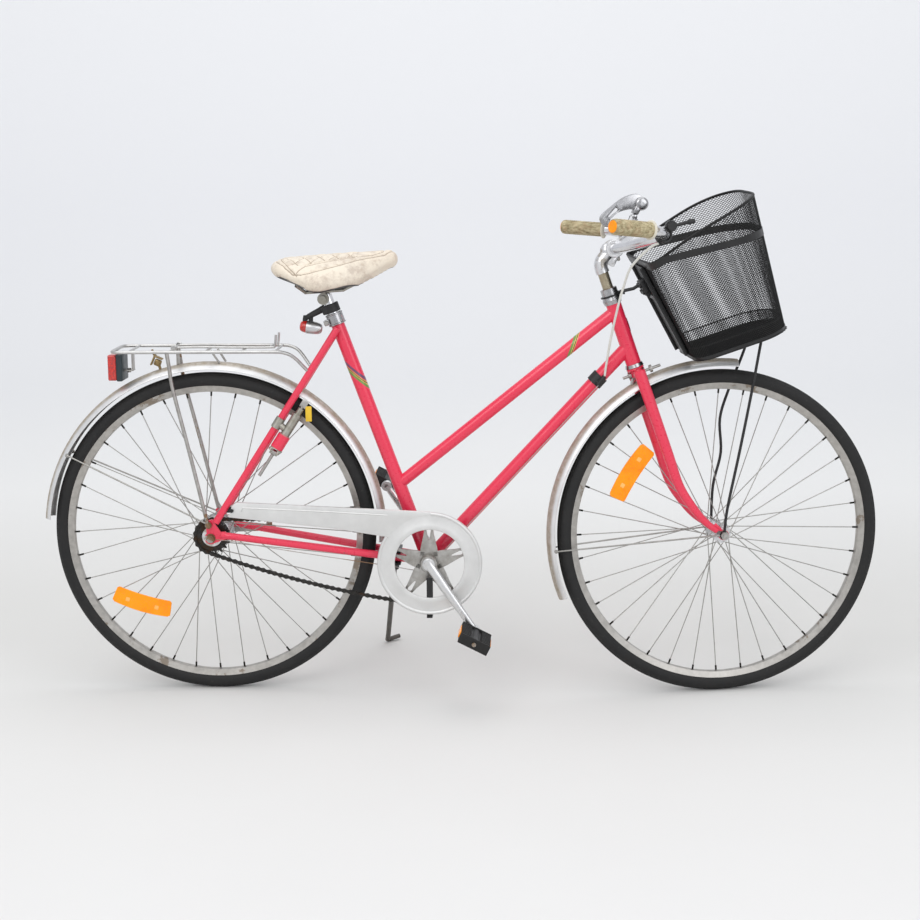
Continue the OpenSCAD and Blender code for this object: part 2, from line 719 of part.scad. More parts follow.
// ---- fork and what it carries ----
crown_s = 377;
module fork() {
    blade = [on_head(384) + [0, -37, 0], on_head(300) + [0, -40, 0], on_head(200) + [0, -45, 0],
        on_head(130) + [0, -49, 0], [1000, -51.5, 403], [1026, -52, 372], [1052, -52, 352]];
    color(pink) in_steering() {
        difference() {
            rod(on_head(crown_s), on_head(561), steerer_r);
            rod(on_head(480), on_head(562), quill_r + running);
        }
        rod(on_head(crown_s) + [0, -37, 0], on_head(crown_s) + [0, 37, 0], 10);
        rod(on_head(crown_s + 8), on_head(head_low - 7.5), 19);
        both_sides() {
            sweep(curve(blade, 3), [12.5, 6.5], 16, [0, 1, 0]);
            side_plate(-54, -50) difference() {
                union() {
                    translate([wheelbase, wheel_r]) circle(r = 11);
                    polygon([[wheelbase - 28, 356], [wheelbase - 16, 370], [wheelbase + 8, 351], [wheelbase - 10, 338]]);
                }
                translate([wheelbase, wheel_r]) circle(r = 4.9);
            }
        }
    }
}
module crown_bolt() {
    c = on_head(crown_s - 2);
    f = [sin(head_angle), 0, cos(head_angle)];
    color(steel) in_steering() {
        rod(c - 31 * f, c + 52 * f, 3);
        rod(c + 13 * f, c + 17 * f, 9);
        rod(c + 28 * f, c + 33 * f, 8);
        rod(c - 19 * f, c - 13 * f, 7);
        // Lug that holds the mudguard under the crown
        translate(c + [-13, -9, -22]) rotate([0, 19, 0]) cube([3, 18, 24]);
    }
}
module headset_nuts() {
    color(steel) in_steering() difference() {
        union() {
            rod(on_head(head_high + 8.4), on_head(head_high + 16), 20, 18);
            rod(on_head(head_high + 19.2), on_head(head_high + 33), 17.5);
        }
        rod(on_head(head_high + 8), on_head(head_high + 34), steerer_r);
    }
}
bar_mid = [842, 0, 938];
module stem() {
    color([0.75, 0.75, 0.76]) in_steering() difference() {
        union() {
            rod(on_head(490), on_head(612), quill_r);
            rod(on_head(598), on_head(616), 13.5);
            rod(on_head(610), bar_mid, 13, 14);
            across(bar_mid, -19, 19, 18);
            translate(bar_mid + [-9, -8, -34]) rotate([0, 25, 0]) cube([14, 16, 22]);
            rod(bar_mid + [-14, 0, -24], bar_mid + [14, 0, -18], 4);
        }
        across(bar_mid, -20, 20, 11.15);
    }
}
function mirrored(p) = [for (i = [len(p) - 1 : -1 : 0]) [p[i][0], -p[i][1], p[i][2]]];
bar_half = [[790, 291.5, 983], [829, 268, 979.5], [866, 246, 976], [888, 229, 972], [903, 204, 967],
    [907, 172, 962], [893, 128, 955], [868, 80, 946], [848, 38, 939.5], [842, 20, 938], bar_mid];
module handlebar() {
    color([0.8, 0.8, 0.82]) in_steering() sweep(curve(concat(bar_half,
        [for (i = [len(bar_half) - 2 : -1 : 0]) [bar_half[i][0], -bar_half[i][1], bar_half[i][2]]]), 2), [11.1, 11.1], 16);
}
grip_in = [866, -246, 976];
grip_out = [783, -295.5, 983.5];
module grips() {
    color([0.62, 0.57, 0.45]) in_steering() both_sides() {
        rod(grip_in, grip_out, 15.5, 14.5);
        rod(grip_in + 3.5 * unit(grip_in - grip_out), grip_in + unit(grip_out - grip_in), 19);
    }
}
perch_at = [905, 184, 964];
lever_pin = [941, 0, 1031];
module lever_perch() {
    color([0.75, 0.75, 0.77]) in_steering() difference() {
        union() {
            rod(perch_at + [-3, -9, 0], perch_at + [3, 9, 0], 16);
            rod(perch_at + [4, 2, 8], [938, 202, 1024], 9, 12);
            across(lever_pin, 188, 218, 15);
        }
        // Slot that the lever turns in, and its pin hole
        translate([905, 198, 1010]) cube([60, 11, 60]);
        across(lever_pin, 180, 220, 3.05);
    }
}
module brake_lever() {
    color([0.8, 0.8, 0.82]) in_steering() {
        across(lever_pin, 189, 217, 3);
        side_plate(199, 208) difference() {
            polygon([[948, 1044], [936, 1052], [922, 1052], [899, 1044], [872, 1024], [850, 1004], [853, 990],
                [864, 981], [873, 984], [873, 1000], [890, 1012], [916, 1019], [936, 1017], [949, 1026]]);
            polygon([[866, 1004], [874, 1004], [890, 1019], [886, 1024]]);
        }
    }
}
shifter_at = [905, -190, 965];
shift_pin = shifter_at + [14, 0, 18];
module shifter_body() {
    color(black) in_steering() {
        difference() {
            rod(shifter_at + [-2, 9, -1], shifter_at + [2, -9, 1], 15);
            rod(shifter_at + [-5, 24, -3], shifter_at + [5, -24, 3], 11.15);
        }
        rod(shifter_at + [-6, 0, -9], [895, -196, 952], 4);
        difference() {
            across(shift_pin, -200, -184, 11);
            across(shift_pin, -201, -183, 3.05);
        }
    }
}
module shift_lever() {
    color(black) in_steering() {
        across(shift_pin, -207, -180, 3);
        across(shift_pin, -207, -200.4, 9);
        rod(shift_pin + [2, -13.7, 0], shift_pin + [34, -17, 8], 3, 4);
        rod(shift_pin + [32, -17, 7.5], shift_pin + [44, -17.5, 10], 5.5, 4.5);
    }
}

// ---- basket ----
basket_tilt = 17.7;
basket_roll = 4.6;
basket_at = [999, 0, 712];
basket_h = 288;
module in_basket() {
    in_steering() translate(basket_at) rotate([0, -basket_tilt, 0]) rotate([basket_roll, 0, 0]) children();
}
// Closed tapering tub, flat at the back and round in front, drawn smaller all round by d
module basket_tub(d, floor_w) {
    hull() {
        for (y = [-58, 58]) translate([36, y, floor_w]) cylinder(h = 1, r = 34 - d, $fn = 32);
        for (y = [-22, 22]) translate([137, y, floor_w]) cylinder(h = 1, r = 70 - d, $fn = 48);
        for (y = [36 - basket_half, basket_half - 36])
            translate([-20, y, basket_h]) cylinder(h = 1 + d / 3, r = 36 - d, $fn = 32);
        for (y = [105 - basket_half, basket_half - 105])
            translate([109, y, basket_h]) cylinder(h = 1 + d / 3, r = 105 - d, $fn = 64);
    }
}
module basket() {
    color(black) in_basket() difference() {
        basket_tub(0, 0);
        basket_tub(basket_wall, basket_wall);
        // The rim drops towards the handlebar, more steeply at the back
        translate([-60, -200, 226]) rotate([0, -18, 0]) cube([140, 400, 90]);
        translate([40, -200, 258.5]) rotate([0, -9, 0]) cube([220, 400, 90]);
    }
}
module basket_bracket() {
    color(black) {
        in_basket() translate([2, 0, 0]) rotate([0, -11.4, 0]) {
            translate([-3, -45, 60]) cube([4.5, 90, 140]);
            translate([-20, -14, 158]) cube([18, 28, 34]);
        }
        in_steering() {
            rod([899, -12, 859], on_head(548) + [17, 0, 4], 4);
            difference() {
                rod(on_head(head_high + 16.2), on_head(head_high + 19), 21);
                rod(on_head(head_high + 16), on_head(head_high + 20), steerer_r);
            }
        }
    }
}
module basket_stays() {
    near = [[wheelbase, -57.2, wheel_r], [1072, -58, 400], [1098, -54, 520], [1122, -52, 640], [1143, -50, 754.6]];
    far = [[wheelbase, 57.2, wheel_r], [1070, 60, 430], [1087, 62, 502], [1084, 60, 575], [1102, 55, 640],
        [1132, 50, 720], [1143, 50, 763]];
    color(black) in_steering() {
        sweep(curve(near, 2), [3, 3], 8, [0, 1, 0]);
        sweep(curve(far, 2), [3, 3], 8, [0, 1, 0]);
        both_sides() difference() {
            across(front_hub_at, -58.5, -56, 9);
            across(front_hub_at, -59, -55, 4.9);
        }
    }
}

main_frame();
chain_stays();
seat_stays();
bb_cups();
headset_cups();
seat_clamp();
rear_mudguard();
rear_mudguard_stays();
rack();
rack_stays();
tail_reflector();
chainguard();
chainguard_straps();
chain();
rear_axle();
brake_arm();
kickstand_bracket();
lock_housing();
cable_stop();
gear_wire();
gear_cable();
fork();
headset_nuts();
stem();
handlebar();
grips();
lever_perch();
shifter_body();
crown_bolt();
front_mudguard();
front_mudguard_stays();
front_axle();
basket();
basket_bracket();
basket_stays();
brake_lever();
shift_lever();
front_tyre();
front_rim();
front_spokes();
front_hub();
front_wheel_reflector();
rear_tyre();
rear_rim();
rear_spokes();
rear_hub();
rear_wheel_reflector();
rear_sprocket();
right_crank();
left_crank();
right_pedal();
left_pedal();
seatpost();
tail_lamp();
saddle_frame();
saddle_pad();
kickstand();
lock_arm();
lock_key();
rack_clip();
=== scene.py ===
"""Looks for the step-through city bicycle: finer meshes, materials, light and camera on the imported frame."""

import math

import bmesh
import bpy
import numpy as np
from mathutils import Matrix, Vector


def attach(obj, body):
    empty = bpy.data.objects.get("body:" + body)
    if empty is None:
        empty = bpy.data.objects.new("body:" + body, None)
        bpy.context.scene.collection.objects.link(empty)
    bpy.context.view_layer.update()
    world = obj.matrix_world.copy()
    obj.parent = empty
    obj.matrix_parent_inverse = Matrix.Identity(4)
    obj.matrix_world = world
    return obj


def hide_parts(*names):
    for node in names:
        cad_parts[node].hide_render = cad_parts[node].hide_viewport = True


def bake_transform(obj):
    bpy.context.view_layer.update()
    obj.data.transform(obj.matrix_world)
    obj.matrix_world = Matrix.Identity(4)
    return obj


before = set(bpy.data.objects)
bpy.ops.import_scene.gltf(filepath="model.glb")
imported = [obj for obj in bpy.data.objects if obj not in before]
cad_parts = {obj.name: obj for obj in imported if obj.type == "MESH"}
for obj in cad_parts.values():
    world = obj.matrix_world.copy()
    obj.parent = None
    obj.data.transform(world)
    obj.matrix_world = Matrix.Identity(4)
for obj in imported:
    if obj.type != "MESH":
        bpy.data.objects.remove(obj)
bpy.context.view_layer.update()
scene = bpy.context.scene
scene.view_settings.view_transform = "Standard"
cos, sin, rad, pi = math.cos, math.sin, math.radians, math.pi

# ---------------- camera
cam = bpy.data.cameras.new("camera")
cam.sensor_width = 36
cam.lens = 1765.8 / 920 * 36
cam.clip_end = 60
camera = bpy.data.objects.new("camera", cam)
scene.collection.objects.link(camera)
X, Y, Z = (0.99924, 0.03731, -0.0113), (0.00218, 0.23615, 0.97171), (0.03892, -0.971, 0.23589)
camera.matrix_world = Matrix([[X[i], Y[i], Z[i], (0.14707, -3.63994, 1.37348)[i]] for i in range(3)]
                             + [[0, 0, 0, 1]])
scene.camera = camera

# ---------------- placing, as in the CAD, from upright millimetres
LEAN, STEER, HEAD = rad(3.3), rad(8.5), rad(71)
WB, R, TR = 1066.0, 343.0, 16.5
HD = Vector((-cos(HEAD), 0, sin(HEAD)))
HUBR, HUBF = Vector((0, 0, R)), Vector((WB, 0, R))
HB = HUBF - 55 * Vector((sin(HEAD), 0, cos(HEAD)))
LM = Matrix.Rotation(-LEAN, 4, "X")
SM = Matrix.Translation(HB) @ Matrix.Rotation(STEER, 4, HD) @ Matrix.Translation(-HB)
_at, _spin = LM @ SM @ HUBF, (LM @ SM).to_3x3() @ Vector((0, 1, 0))
PITCH = math.asin((_at.z - (R - TR) * math.sqrt(1 - _spin.z ** 2) - TR) / WB)
MF = Matrix.Scale(0.001, 4) @ Matrix.Translation((-520, -57, 0)) @ Matrix.Rotation(PITCH, 4, "Y") @ LM
MS = MF @ SM


def on_head(s):
    return np.array(HB + s * HD)


SEAT = np.array([-cos(rad(70)), 0, sin(rad(70))])


def on_seat(z):
    return np.array([451, 0, 287.0]) + SEAT * (z - 287) / SEAT[2]


# ---------------- mesh code: a shape is (points, faces)
def cat(*shapes):
    V, F, n = [], [], 0
    for v, f in shapes:
        V.append(np.asarray(v, float).reshape(-1, 3))
        F += [tuple(i + n for i in q) for q in f]
        n += len(V[-1])
    return np.concatenate(V), F


def moved(s, M):
    M = np.array(M, float)
    return s[0] @ M[:3, :3].T + M[:3, 3], s[1]


def flip_y(s):
    return s[0] * [1, -1, 1], [q[::-1] for q in s[1]]


def both(s):
    return cat(s, flip_y(s))


def bend(p, n):
    """Smooth curve through the points p."""
    p = np.asarray(p, float)
    q = np.vstack([p[:1], p, p[-1:]])
    out = []
    for i in range(len(p) - 1):
        a, b, c, d = q[i:i + 4]
        for k in range(n):
            t = k / n
            out.append(0.5 * (2 * b + (c - a) * t + (2 * a - 5 * b + 4 * c - d) * t * t + (3 * b - a - 3
                    * c + d) * t ** 3))
    return np.array(out + [p[-1]])


def grid_faces(n, m, wrap_n=False, wrap_m=True):
    F = []
    for i in range(n if wrap_n else n - 1):
        for k in range(m if wrap_m else m - 1):
            j, l = (i + 1) % n, (k + 1) % m
            F.append((i * m + k, i * m + l, j * m + l, j * m + k))
    return F


def tube(p, r, n=16, closed=False, flat=1.0, up=(0, 0, 1), section=None):
    """Tube along the points p; r is one radius or one for each point; flat squeezes it along up."""
    p = np.asarray(p, float)
    N = len(p)
    r = np.broadcast_to(np.asarray(r, float), (N,))
    f = np.broadcast_to(np.asarray(flat, float), (N,))
    t = np.roll(p, -1, 0) - np.roll(p, 1, 0) if closed else np.gradient(p, axis=0)
    t /= np.linalg.norm(t, axis=1)[:, None]
    u = np.cross(np.asarray(up, float), t[0])
    if np.linalg.norm(u) < 0.05:
        u = np.cross((0.3, 1, 0.1), t[0])
    V = []
    a = np.arange(n) / n * 2 * pi
    for i in range(N):
        u = u - t[i] * (u @ t[i])
        u /= np.linalg.norm(u)
        v = np.cross(t[i], u)
        rr = r[i] if section is None else r[i] * section(a, i / (N - 1))
        V.append(p[i] + (np.cos(a) * rr)[:, None] * u + (np.sin(a) * rr * f[i])[:, None] * v)
    F = grid_faces(N, n, closed)
    if not closed:
        F += [tuple(range(n))[::-1], tuple((N - 1) * n + k for k in range(n))]
    return np.concatenate(V), F


def rod(a, b, r, r2=None, n=24, edge=0.0):
    """Round bar with its two edges broken by a small chamfer."""
    a, b = np.asarray(a, float), np.asarray(b, float)
    r2 = r if r2 is None else r2
    L = np.linalg.norm(b - a)
    if not edge:
        return tube([a, b], [r, r2], n)
    u = (b - a) / L
    return tube([a, a + u * edge, b - u * edge, b], [r - edge, r, r2, r2 - edge], n)


def lathe(profile, n, c=(0, 0, 0), axis="Y", a0=0.0, a1=360.0, closed=True):
    """Profile of (distance from the axis, place along it), turned about Y or another direction through c."""
    pr = np.asarray(profile, float)
    full = abs(a1 - a0) >= 360
    ang = np.radians(np.linspace(a0, a1, n, endpoint=not full))
    if isinstance(axis, str):
        e1, e2, ax = np.array([1.0, 0, 0]), np.array([0, 0, 1.0]), np.array([0, 1.0, 0])
    else:
        ax = np.asarray(axis, float) / np.linalg.norm(axis)
        e1 = np.cross(ax, (0.2, 1, 0.1) if abs(ax[1]) < 0.9 else (1, 0, 0))
        e1 /= np.linalg.norm(e1)
        e2 = np.cross(ax, e1)
    V = np.array([np.asarray(c) + pr[:, :1] * (cos(t) * e1 + sin(t) * e2) + pr[:, 1:] * ax
                  for t in ang]).reshape(-1, 3)
    m = len(pr)
    F = grid_faces(len(ang), m, full, closed)
    if not full:
        F += [tuple(range(m)), tuple((len(ang) - 1) * m + k for k in range(m))[::-1]]
    elif not closed:
        for k in (0, m - 1):
            if pr[k][0] > 1e-6:
                F.append(tuple(i * m + k for i in range(len(ang))))
    return V, F


def block(size, c=(0, 0, 0), M=None, edge=1.0, seg=2):
    """Box with rounded edges."""
    bm = bmesh.new()
    bmesh.ops.create_cube(bm, size=1)
    bmesh.ops.scale(bm, vec=size, verts=bm.verts)
    bmesh.ops.bevel(bm, geom=bm.edges[:], offset=min(edge, min(size) * 0.45), segments=seg, affect="EDGES",
                    profile=0.5)
    V = np.array([v.co[:] for v in bm.verts])
    F = [tuple(v.index for v in f.verts) for f in bm.faces]
    bm.free()
    V = V if M is None else V @ np.array(M.to_3x3()).T
    return V + np.asarray(c, float), F


def plate(outline, y0, y1, holes=(), edge=0.6):
    """Flat outline in the side plane (x, z), filling y0 to y1, with broken edges."""
    bm = bmesh.new()
    edges = []
    for ring in [outline, *holes]:
        vs = [bm.verts.new((x, y0, z)) for x, z in ring]
        edges += [bm.edges.new((vs[i], vs[(i + 1) % len(vs)])) for i in range(len(vs))]
    bmesh.ops.triangle_fill(bm, use_beauty=True, edges=edges)
    out = bmesh.ops.extrude_face_region(bm, geom=bm.faces[:])
    bmesh.ops.translate(bm, vec=(0, y1 - y0, 0), verts=[g for g in out["geom"] if isinstance(g,
            bmesh.types.BMVert)])
    bmesh.ops.recalc_face_normals(bm, faces=bm.faces)
    if edge:
        sharp = [e for e in bm.edges if len(e.link_faces) == 2 and e.calc_face_angle(0) > 1.2]
        bmesh.ops.bevel(bm, geom=sharp, offset=edge, segments=2, affect="EDGES", profile=0.6)
    bm.verts.index_update()
    V = np.array([v.co[:] for v in bm.verts])
    F = [tuple(v.index for v in f.verts) for f in bm.faces]
    bm.free()
    return V, F


def ring(c, r, n=64, a0=0, a1=360):
    return [(c[0] + r * cos(rad(a)), c[1] + r * sin(rad(a))) for a in np.linspace(a0, a1, n, endpoint=a1
            - a0 < 360)]


def piece(name, shape, body, material, M=MF, stands_for=(), sharp=35, blended=None):
    V = np.asarray(shape[0], float)
    A = np.array(M, float)
    me = bpy.data.meshes.new(name)
    me.from_pydata((V @ A[:3, :3].T + A[:3, 3]).tolist(), [], shape[1])
    me.validate()
    bm = bmesh.new()
    bm.from_mesh(me)
    bmesh.ops.recalc_face_normals(bm, faces=bm.faces)
    bm.to_mesh(me)
    bm.free()
    me.shade_smooth()
    me.set_sharp_from_angle(angle=rad(sharp))
    o = bpy.data.objects.new(name, me)
    scene.collection.objects.link(o)
    me.materials.append(material)
    if blended:
        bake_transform(o)
    else:
        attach(o, body)
    if stands_for:
        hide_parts(*([stands_for] if isinstance(stands_for, str) else stands_for))
    return o


# ---------------- materials
class Mat:
    """Node material around one Principled shader; numbers that never vary are set on its own sockets."""

    def __init__(self, name, **sockets):
        self.m = bpy.data.materials.new(name)
        self.m.use_nodes = True
        self.t = self.m.node_tree
        self.b = next(n for n in self.t.nodes if n.type == "BSDF_PRINCIPLED")
        self.co = self.node("ShaderNodeTexCoord").outputs["Object"]
        self.height = None
        for k, v in sockets.items():
            self.b.inputs[k.replace("_", " ")].default_value = v

    def node(self, kind, ins=None, **props):
        n = self.t.nodes.new(kind)
        for k, v in props.items():
            setattr(n, k, v)
        for k, v in (ins or {}).items():
            self.feed(n.inputs[k], v)
        return n

    def feed(self, socket, v):
        if hasattr(v, "is_output"):
            self.t.links.new(v, socket)
        else:
            socket.default_value = v

    def space(self, scale=(1, 1, 1), turn=(0, 0, 0), at=(0, 0, 0)):
        return self.node("ShaderNodeMapping", {"Vector": self.co, "Scale": scale, "Rotation": turn,
                                               "Location": at}).outputs[0]

    def noise(self, scale, detail=4.0, rough=0.6, vec=None):
        return self.node("ShaderNodeTexNoise", {"Vector": vec or self.co, "Scale": scale, "Detail": detail,
                                                "Roughness": rough}).outputs[0]

    def voronoi(self, scale, vec=None, feature="F1"):
        return self.node("ShaderNodeTexVoronoi", {"Vector": vec or self.co, "Scale": scale},
                         feature=feature).outputs["Distance"]

    def wave(self, scale, vec, direction="X", distort=0.0, kind="BANDS"):
        n = self.node("ShaderNodeTexWave", {"Vector": vec, "Scale": scale, "Distortion": distort},
                      wave_type=kind)
        if kind == "BANDS":
            n.bands_direction = direction
        return n.outputs["Fac"]

    def range(self, v, a, b, lo=0.0, hi=1.0):
        return self.node("ShaderNodeMapRange", {"Value": v, "From Min": a, "From Max": b, "To Min": lo,
                                                "To Max": hi}).outputs[0]

    def math(self, op, a, b=0.0, c=0.0):
        n = self.node("ShaderNodeMath", operation=op)
        for i, v in enumerate((a, b, c)):
            self.feed(n.inputs[i], v)
        return n.outputs[0]

    def mix(self, f, a, b):
        n = self.node("ShaderNodeMix", data_type="RGBA")
        self.feed(n.inputs["Factor"], f)
        for k, v in (("A", a), ("B", b)):
            s = next(i for i in n.inputs if i.name == k and i.type == "RGBA")
            self.feed(s, v if hasattr(v, "is_output") else (*v, 1))
        return next(o for o in n.outputs if o.type == "RGBA")

    def along(self, p, d):
        """Distance in metres along direction d from the point p, both given in the row frame."""
        s = self.node("ShaderNodeVectorMath", {0: self.co, 1: tuple(p)}, operation="SUBTRACT").outputs[0]
        return self.node("ShaderNodeVectorMath", {0: s, 1: tuple(d)},
                         operation="DOT_PRODUCT").outputs["Value"]

    def colour(self, v):
        self.feed(self.b.inputs["Base Color"], v)
        return self

    def rough(self, v):
        self.feed(self.b.inputs["Roughness"], v)
        return self

    def bump(self, height, strength=0.3, depth=0.0005):
        n = self.node("ShaderNodeBump", {"Height": height, "Strength": strength, "Distance": depth})
        if self.height is not None:
            self.t.links.new(self.height, n.inputs["Normal"])
        self.height = n.outputs[0]
        self.t.links.new(self.height, self.b.inputs["Normal"])
        return self


def metal(name, light, dark, r0=0.2, r1=0.4, grain=60, stretch=(1, 1, 1), spots=0.0, spot=(0.2, 0.13, 0.08),
          bump=0.05, **k):
    m = Mat(name, Metallic=1.0, **k)
    n1 = m.noise(grain, 5, 0.65, m.space(stretch))
    n2 = m.noise(9, 4, 0.6)
    c = m.mix(m.range(n1, 0.3, 0.7), dark, light)
    if spots:
        s = m.range(m.math("MULTIPLY", m.noise(45, 6, 0.7), m.range(n2, 0.35, 0.65)), 0.46 - spots,
                    0.52 - spots)
        c = m.mix(s, c, spot)
    m.colour(c)
    m.rough(m.range(m.math("ADD", n1, n2), 0.7, 1.3, r0, r1))
    return m.bump(n1, bump, 0.0004)


def plastic(name, c1, c2, r0=0.35, r1=0.55, grain=40, fine=700, bump=0.12, **k):
    m = Mat(name, **k)
    n1 = m.noise(grain, 5, 0.65)
    m.colour(m.mix(m.range(n1, 0.3, 0.72), c1, c2))
    m.rough(m.range(n1, 0.3, 0.7, r0, r1))
    return m.bump(m.noise(fine, 3, 0.6), bump, 0.0003)


def paint(name):
    m = Mat(name, Coat_Weight=0.55, Coat_Roughness=0.1, Specular_IOR_Level=0.5)
    n1, n2 = m.noise(7, 4, 0.6), m.noise(160, 5, 0.7)
    c = m.mix(m.range(n1, 0.3, 0.7), (0.74, 0.020, 0.066), (0.78, 0.025, 0.075))
    chip = m.range(m.math("MULTIPLY", n2, m.range(m.noise(22, 4, 0.7), 0.45, 0.7)), 0.50, 0.53)
    c = m.mix(chip, c, (0.28, 0.06, 0.06))
    m.colour(c)
    m.rough(m.range(n2, 0.3, 0.7, 0.24, 0.36))
    return m.bump(m.noise(260, 3, 0.5), 0.05, 0.0003)


M_PAINT = paint("coral_paint").m
M_ALU = metal("lamp_aluminium", (0.66, 0.66, 0.66), (0.54, 0.54, 0.55), 0.26, 0.44, 30, (1, 1, 1), 0.03,
              (0.40, 0.38, 0.34)).m
M_GUARD = metal("guard_aluminium", (0.77, 0.77, 0.76), (0.69, 0.69, 0.68), 0.46, 0.60, 26).m
M_RIM = metal("rim_aluminium", (0.50, 0.48, 0.45), (0.36, 0.345, 0.32), 0.3, 0.48, 70, (1, 1, 1), 0.04,
              (0.26, 0.22, 0.18)).m
M_CHROME = metal("chrome", (0.80, 0.80, 0.82), (0.68, 0.68, 0.70), 0.06, 0.2, 40, (1, 1, 1), 0.03,
                 (0.42, 0.37, 0.30)).m
M_POLISH = metal("polished_alloy", (0.76, 0.76, 0.77), (0.62, 0.62, 0.63), 0.2, 0.36, 80, (1, 1, 1), 0.02,
                 (0.45, 0.42, 0.38)).m
M_STEEL = metal("dull_steel", (0.50, 0.49, 0.47), (0.33, 0.31, 0.29), 0.3, 0.52, 90, (1, 1, 1), 0.06,
                (0.26, 0.17, 0.10)).m
M_ZINC = metal("zinc_plate", (0.46, 0.45, 0.41), (0.30, 0.28, 0.23), 0.34, 0.56, 70, (1, 1, 1), 0.09,
               (0.30, 0.16, 0.07)).m
M_SPOKE = metal("spoke_steel", (0.44, 0.43, 0.41), (0.30, 0.29, 0.27), 0.25, 0.45, 50).m
M_CHAIN = metal("oiled_chain", (0.075, 0.072, 0.068), (0.02, 0.019, 0.018), 0.38, 0.6, 300, (1, 1, 1), 0.03,
                (0.06, 0.04, 0.028)).m
M_BLACK = plastic("black_enamel", (0.005, 0.005, 0.006), (0.014, 0.014, 0.014), 0.32, 0.5).m
M_WIRE = plastic("basket_enamel", (0.004, 0.004, 0.004), (0.010, 0.010, 0.010), 0.4, 0.6,
                 Specular_IOR_Level=0.3).m
M_PLASTIC = plastic("black_plastic", (0.007, 0.007, 0.008), (0.016, 0.016, 0.016), 0.42, 0.6).m
M_DARK = plastic("dark_bronze_enamel", (0.055, 0.052, 0.045), (0.11, 0.10, 0.085), 0.4, 0.6, 90).m
M_CABLE = plastic("cable_casing", (0.62, 0.62, 0.57), (0.74, 0.73, 0.68), 0.35, 0.5).m


def mudguard(name, hub):
    """Dull aluminium, with road dirt dried on along the crest."""
    m = Mat(name, Metallic=1.0)
    from_hub = m.node("ShaderNodeVectorMath", {0: m.co, 1: tuple(hub)},
                      operation="DISTANCE").outputs["Value"]
    n1, n2 = m.noise(30, 5, 0.65), m.noise(80, 6, 0.75)
    c = m.mix(m.range(n1, 0.3, 0.7), (0.74, 0.74, 0.74), (0.84, 0.84, 0.84))
    dirt = m.math("MULTIPLY", m.range(from_hub, 0.3575, 0.3615), m.range(n2, 0.3, 0.62, 0.5, 1.0))
    c = m.mix(dirt, c, (0.46, 0.40, 0.32))
    m.colour(c)
    m.rough(m.range(m.math("ADD", n1, dirt), 0.3, 1.5, 0.36, 0.72))
    return m.bump(n2, 0.08, 0.0004).m


def spokes(name, hub):
    """Dull wire with dark nipples where it meets the rim."""
    m = Mat(name, Metallic=1.0)
    from_hub = m.node("ShaderNodeVectorMath", {0: m.co, 1: tuple(hub)},
                      operation="DISTANCE").outputs["Value"]
    n1 = m.noise(50, 5, 0.65)
    c = m.mix(m.range(n1, 0.3, 0.7), (0.30, 0.29, 0.27), (0.44, 0.43, 0.41))
    m.colour(m.mix(m.range(from_hub, 0.291, 0.292), c, (0.03, 0.028, 0.025)))
    m.rough(m.range(n1, 0.3, 0.7, 0.25, 0.45))
    return m.bump(n1, 0.05, 0.0004).m


def glowing_amber_plastic():
    # Emission makes the amber give off a faint glow of its own: painted light, since a reflector sends out no
    # light.
    m = Mat("amber_prism_painted_glow", Coat_Weight=0.25, Coat_Roughness=0.06, Emission_Strength=0.1,
            Specular_IOR_Level=0.25)
    cells = m.voronoi(330)
    c = m.mix(m.range(cells, 0.1, 0.75), (1.0, 0.32, 0.0), (0.85, 0.2, 0.0))
    c = m.mix(m.range(m.noise(18, 4), 0.35, 0.75), c, (1.0, 0.36, 0.0))
    m.colour(c)
    m.feed(m.b.inputs["Emission Color"], c)
    m.rough(m.range(cells, 0, 0.7, 0.12, 0.3))
    return m.bump(cells, 0.5, 0.0008).m


def red_plastic():
    m = Mat("red_prism", Coat_Weight=0.8, Coat_Roughness=0.05)
    cells = m.voronoi(420)
    m.colour(m.mix(m.range(cells, 0.1, 0.7), (0.85, 0.05, 0.03), (0.35, 0.006, 0.006)))
    m.rough(m.range(cells, 0, 0.7, 0.12, 0.3))
    return m.bump(cells, 0.5, 0.0008).m


def rubber(name, c1, c2, dust):
    m = Mat(name, Specular_IOR_Level=0.35)
    n1 = m.noise(26, 6, 0.7)
    c = m.mix(m.range(n1, 0.3, 0.7), c1, c2)
    c = m.mix(m.range(m.noise(120, 6, 0.75), 0.58, 0.8, 0, 0.5), c, dust)
    m.colour(c)
    m.rough(m.range(n1, 0.3, 0.7, 0.55, 0.78))
    return m.bump(m.noise(900, 3, 0.6), 0.2, 0.0004).m


def worn_grip():
    """Tan grip worn in fine streaks along its length."""
    m = Mat("worn_tan_grip", Specular_IOR_Level=0.3)
    v = m.space((26, 190, 190), (0, rad(5), rad(-8)))
    n1 = m.noise(1.0, 6, 0.7, v)
    n2 = m.noise(55, 5, 0.7)
    c = m.mix(m.range(n1, 0.36, 0.62), (0.20, 0.155, 0.07), (0.56, 0.49, 0.31))
    c = m.mix(m.range(n2, 0.52, 0.72, 0, 0.6), c, (0.42, 0.25, 0.14))
    m.colour(c)
    m.rough(m.range(n1, 0.3, 0.7, 0.5, 0.75))
    return m.bump(n1, 0.5, 0.0008).m


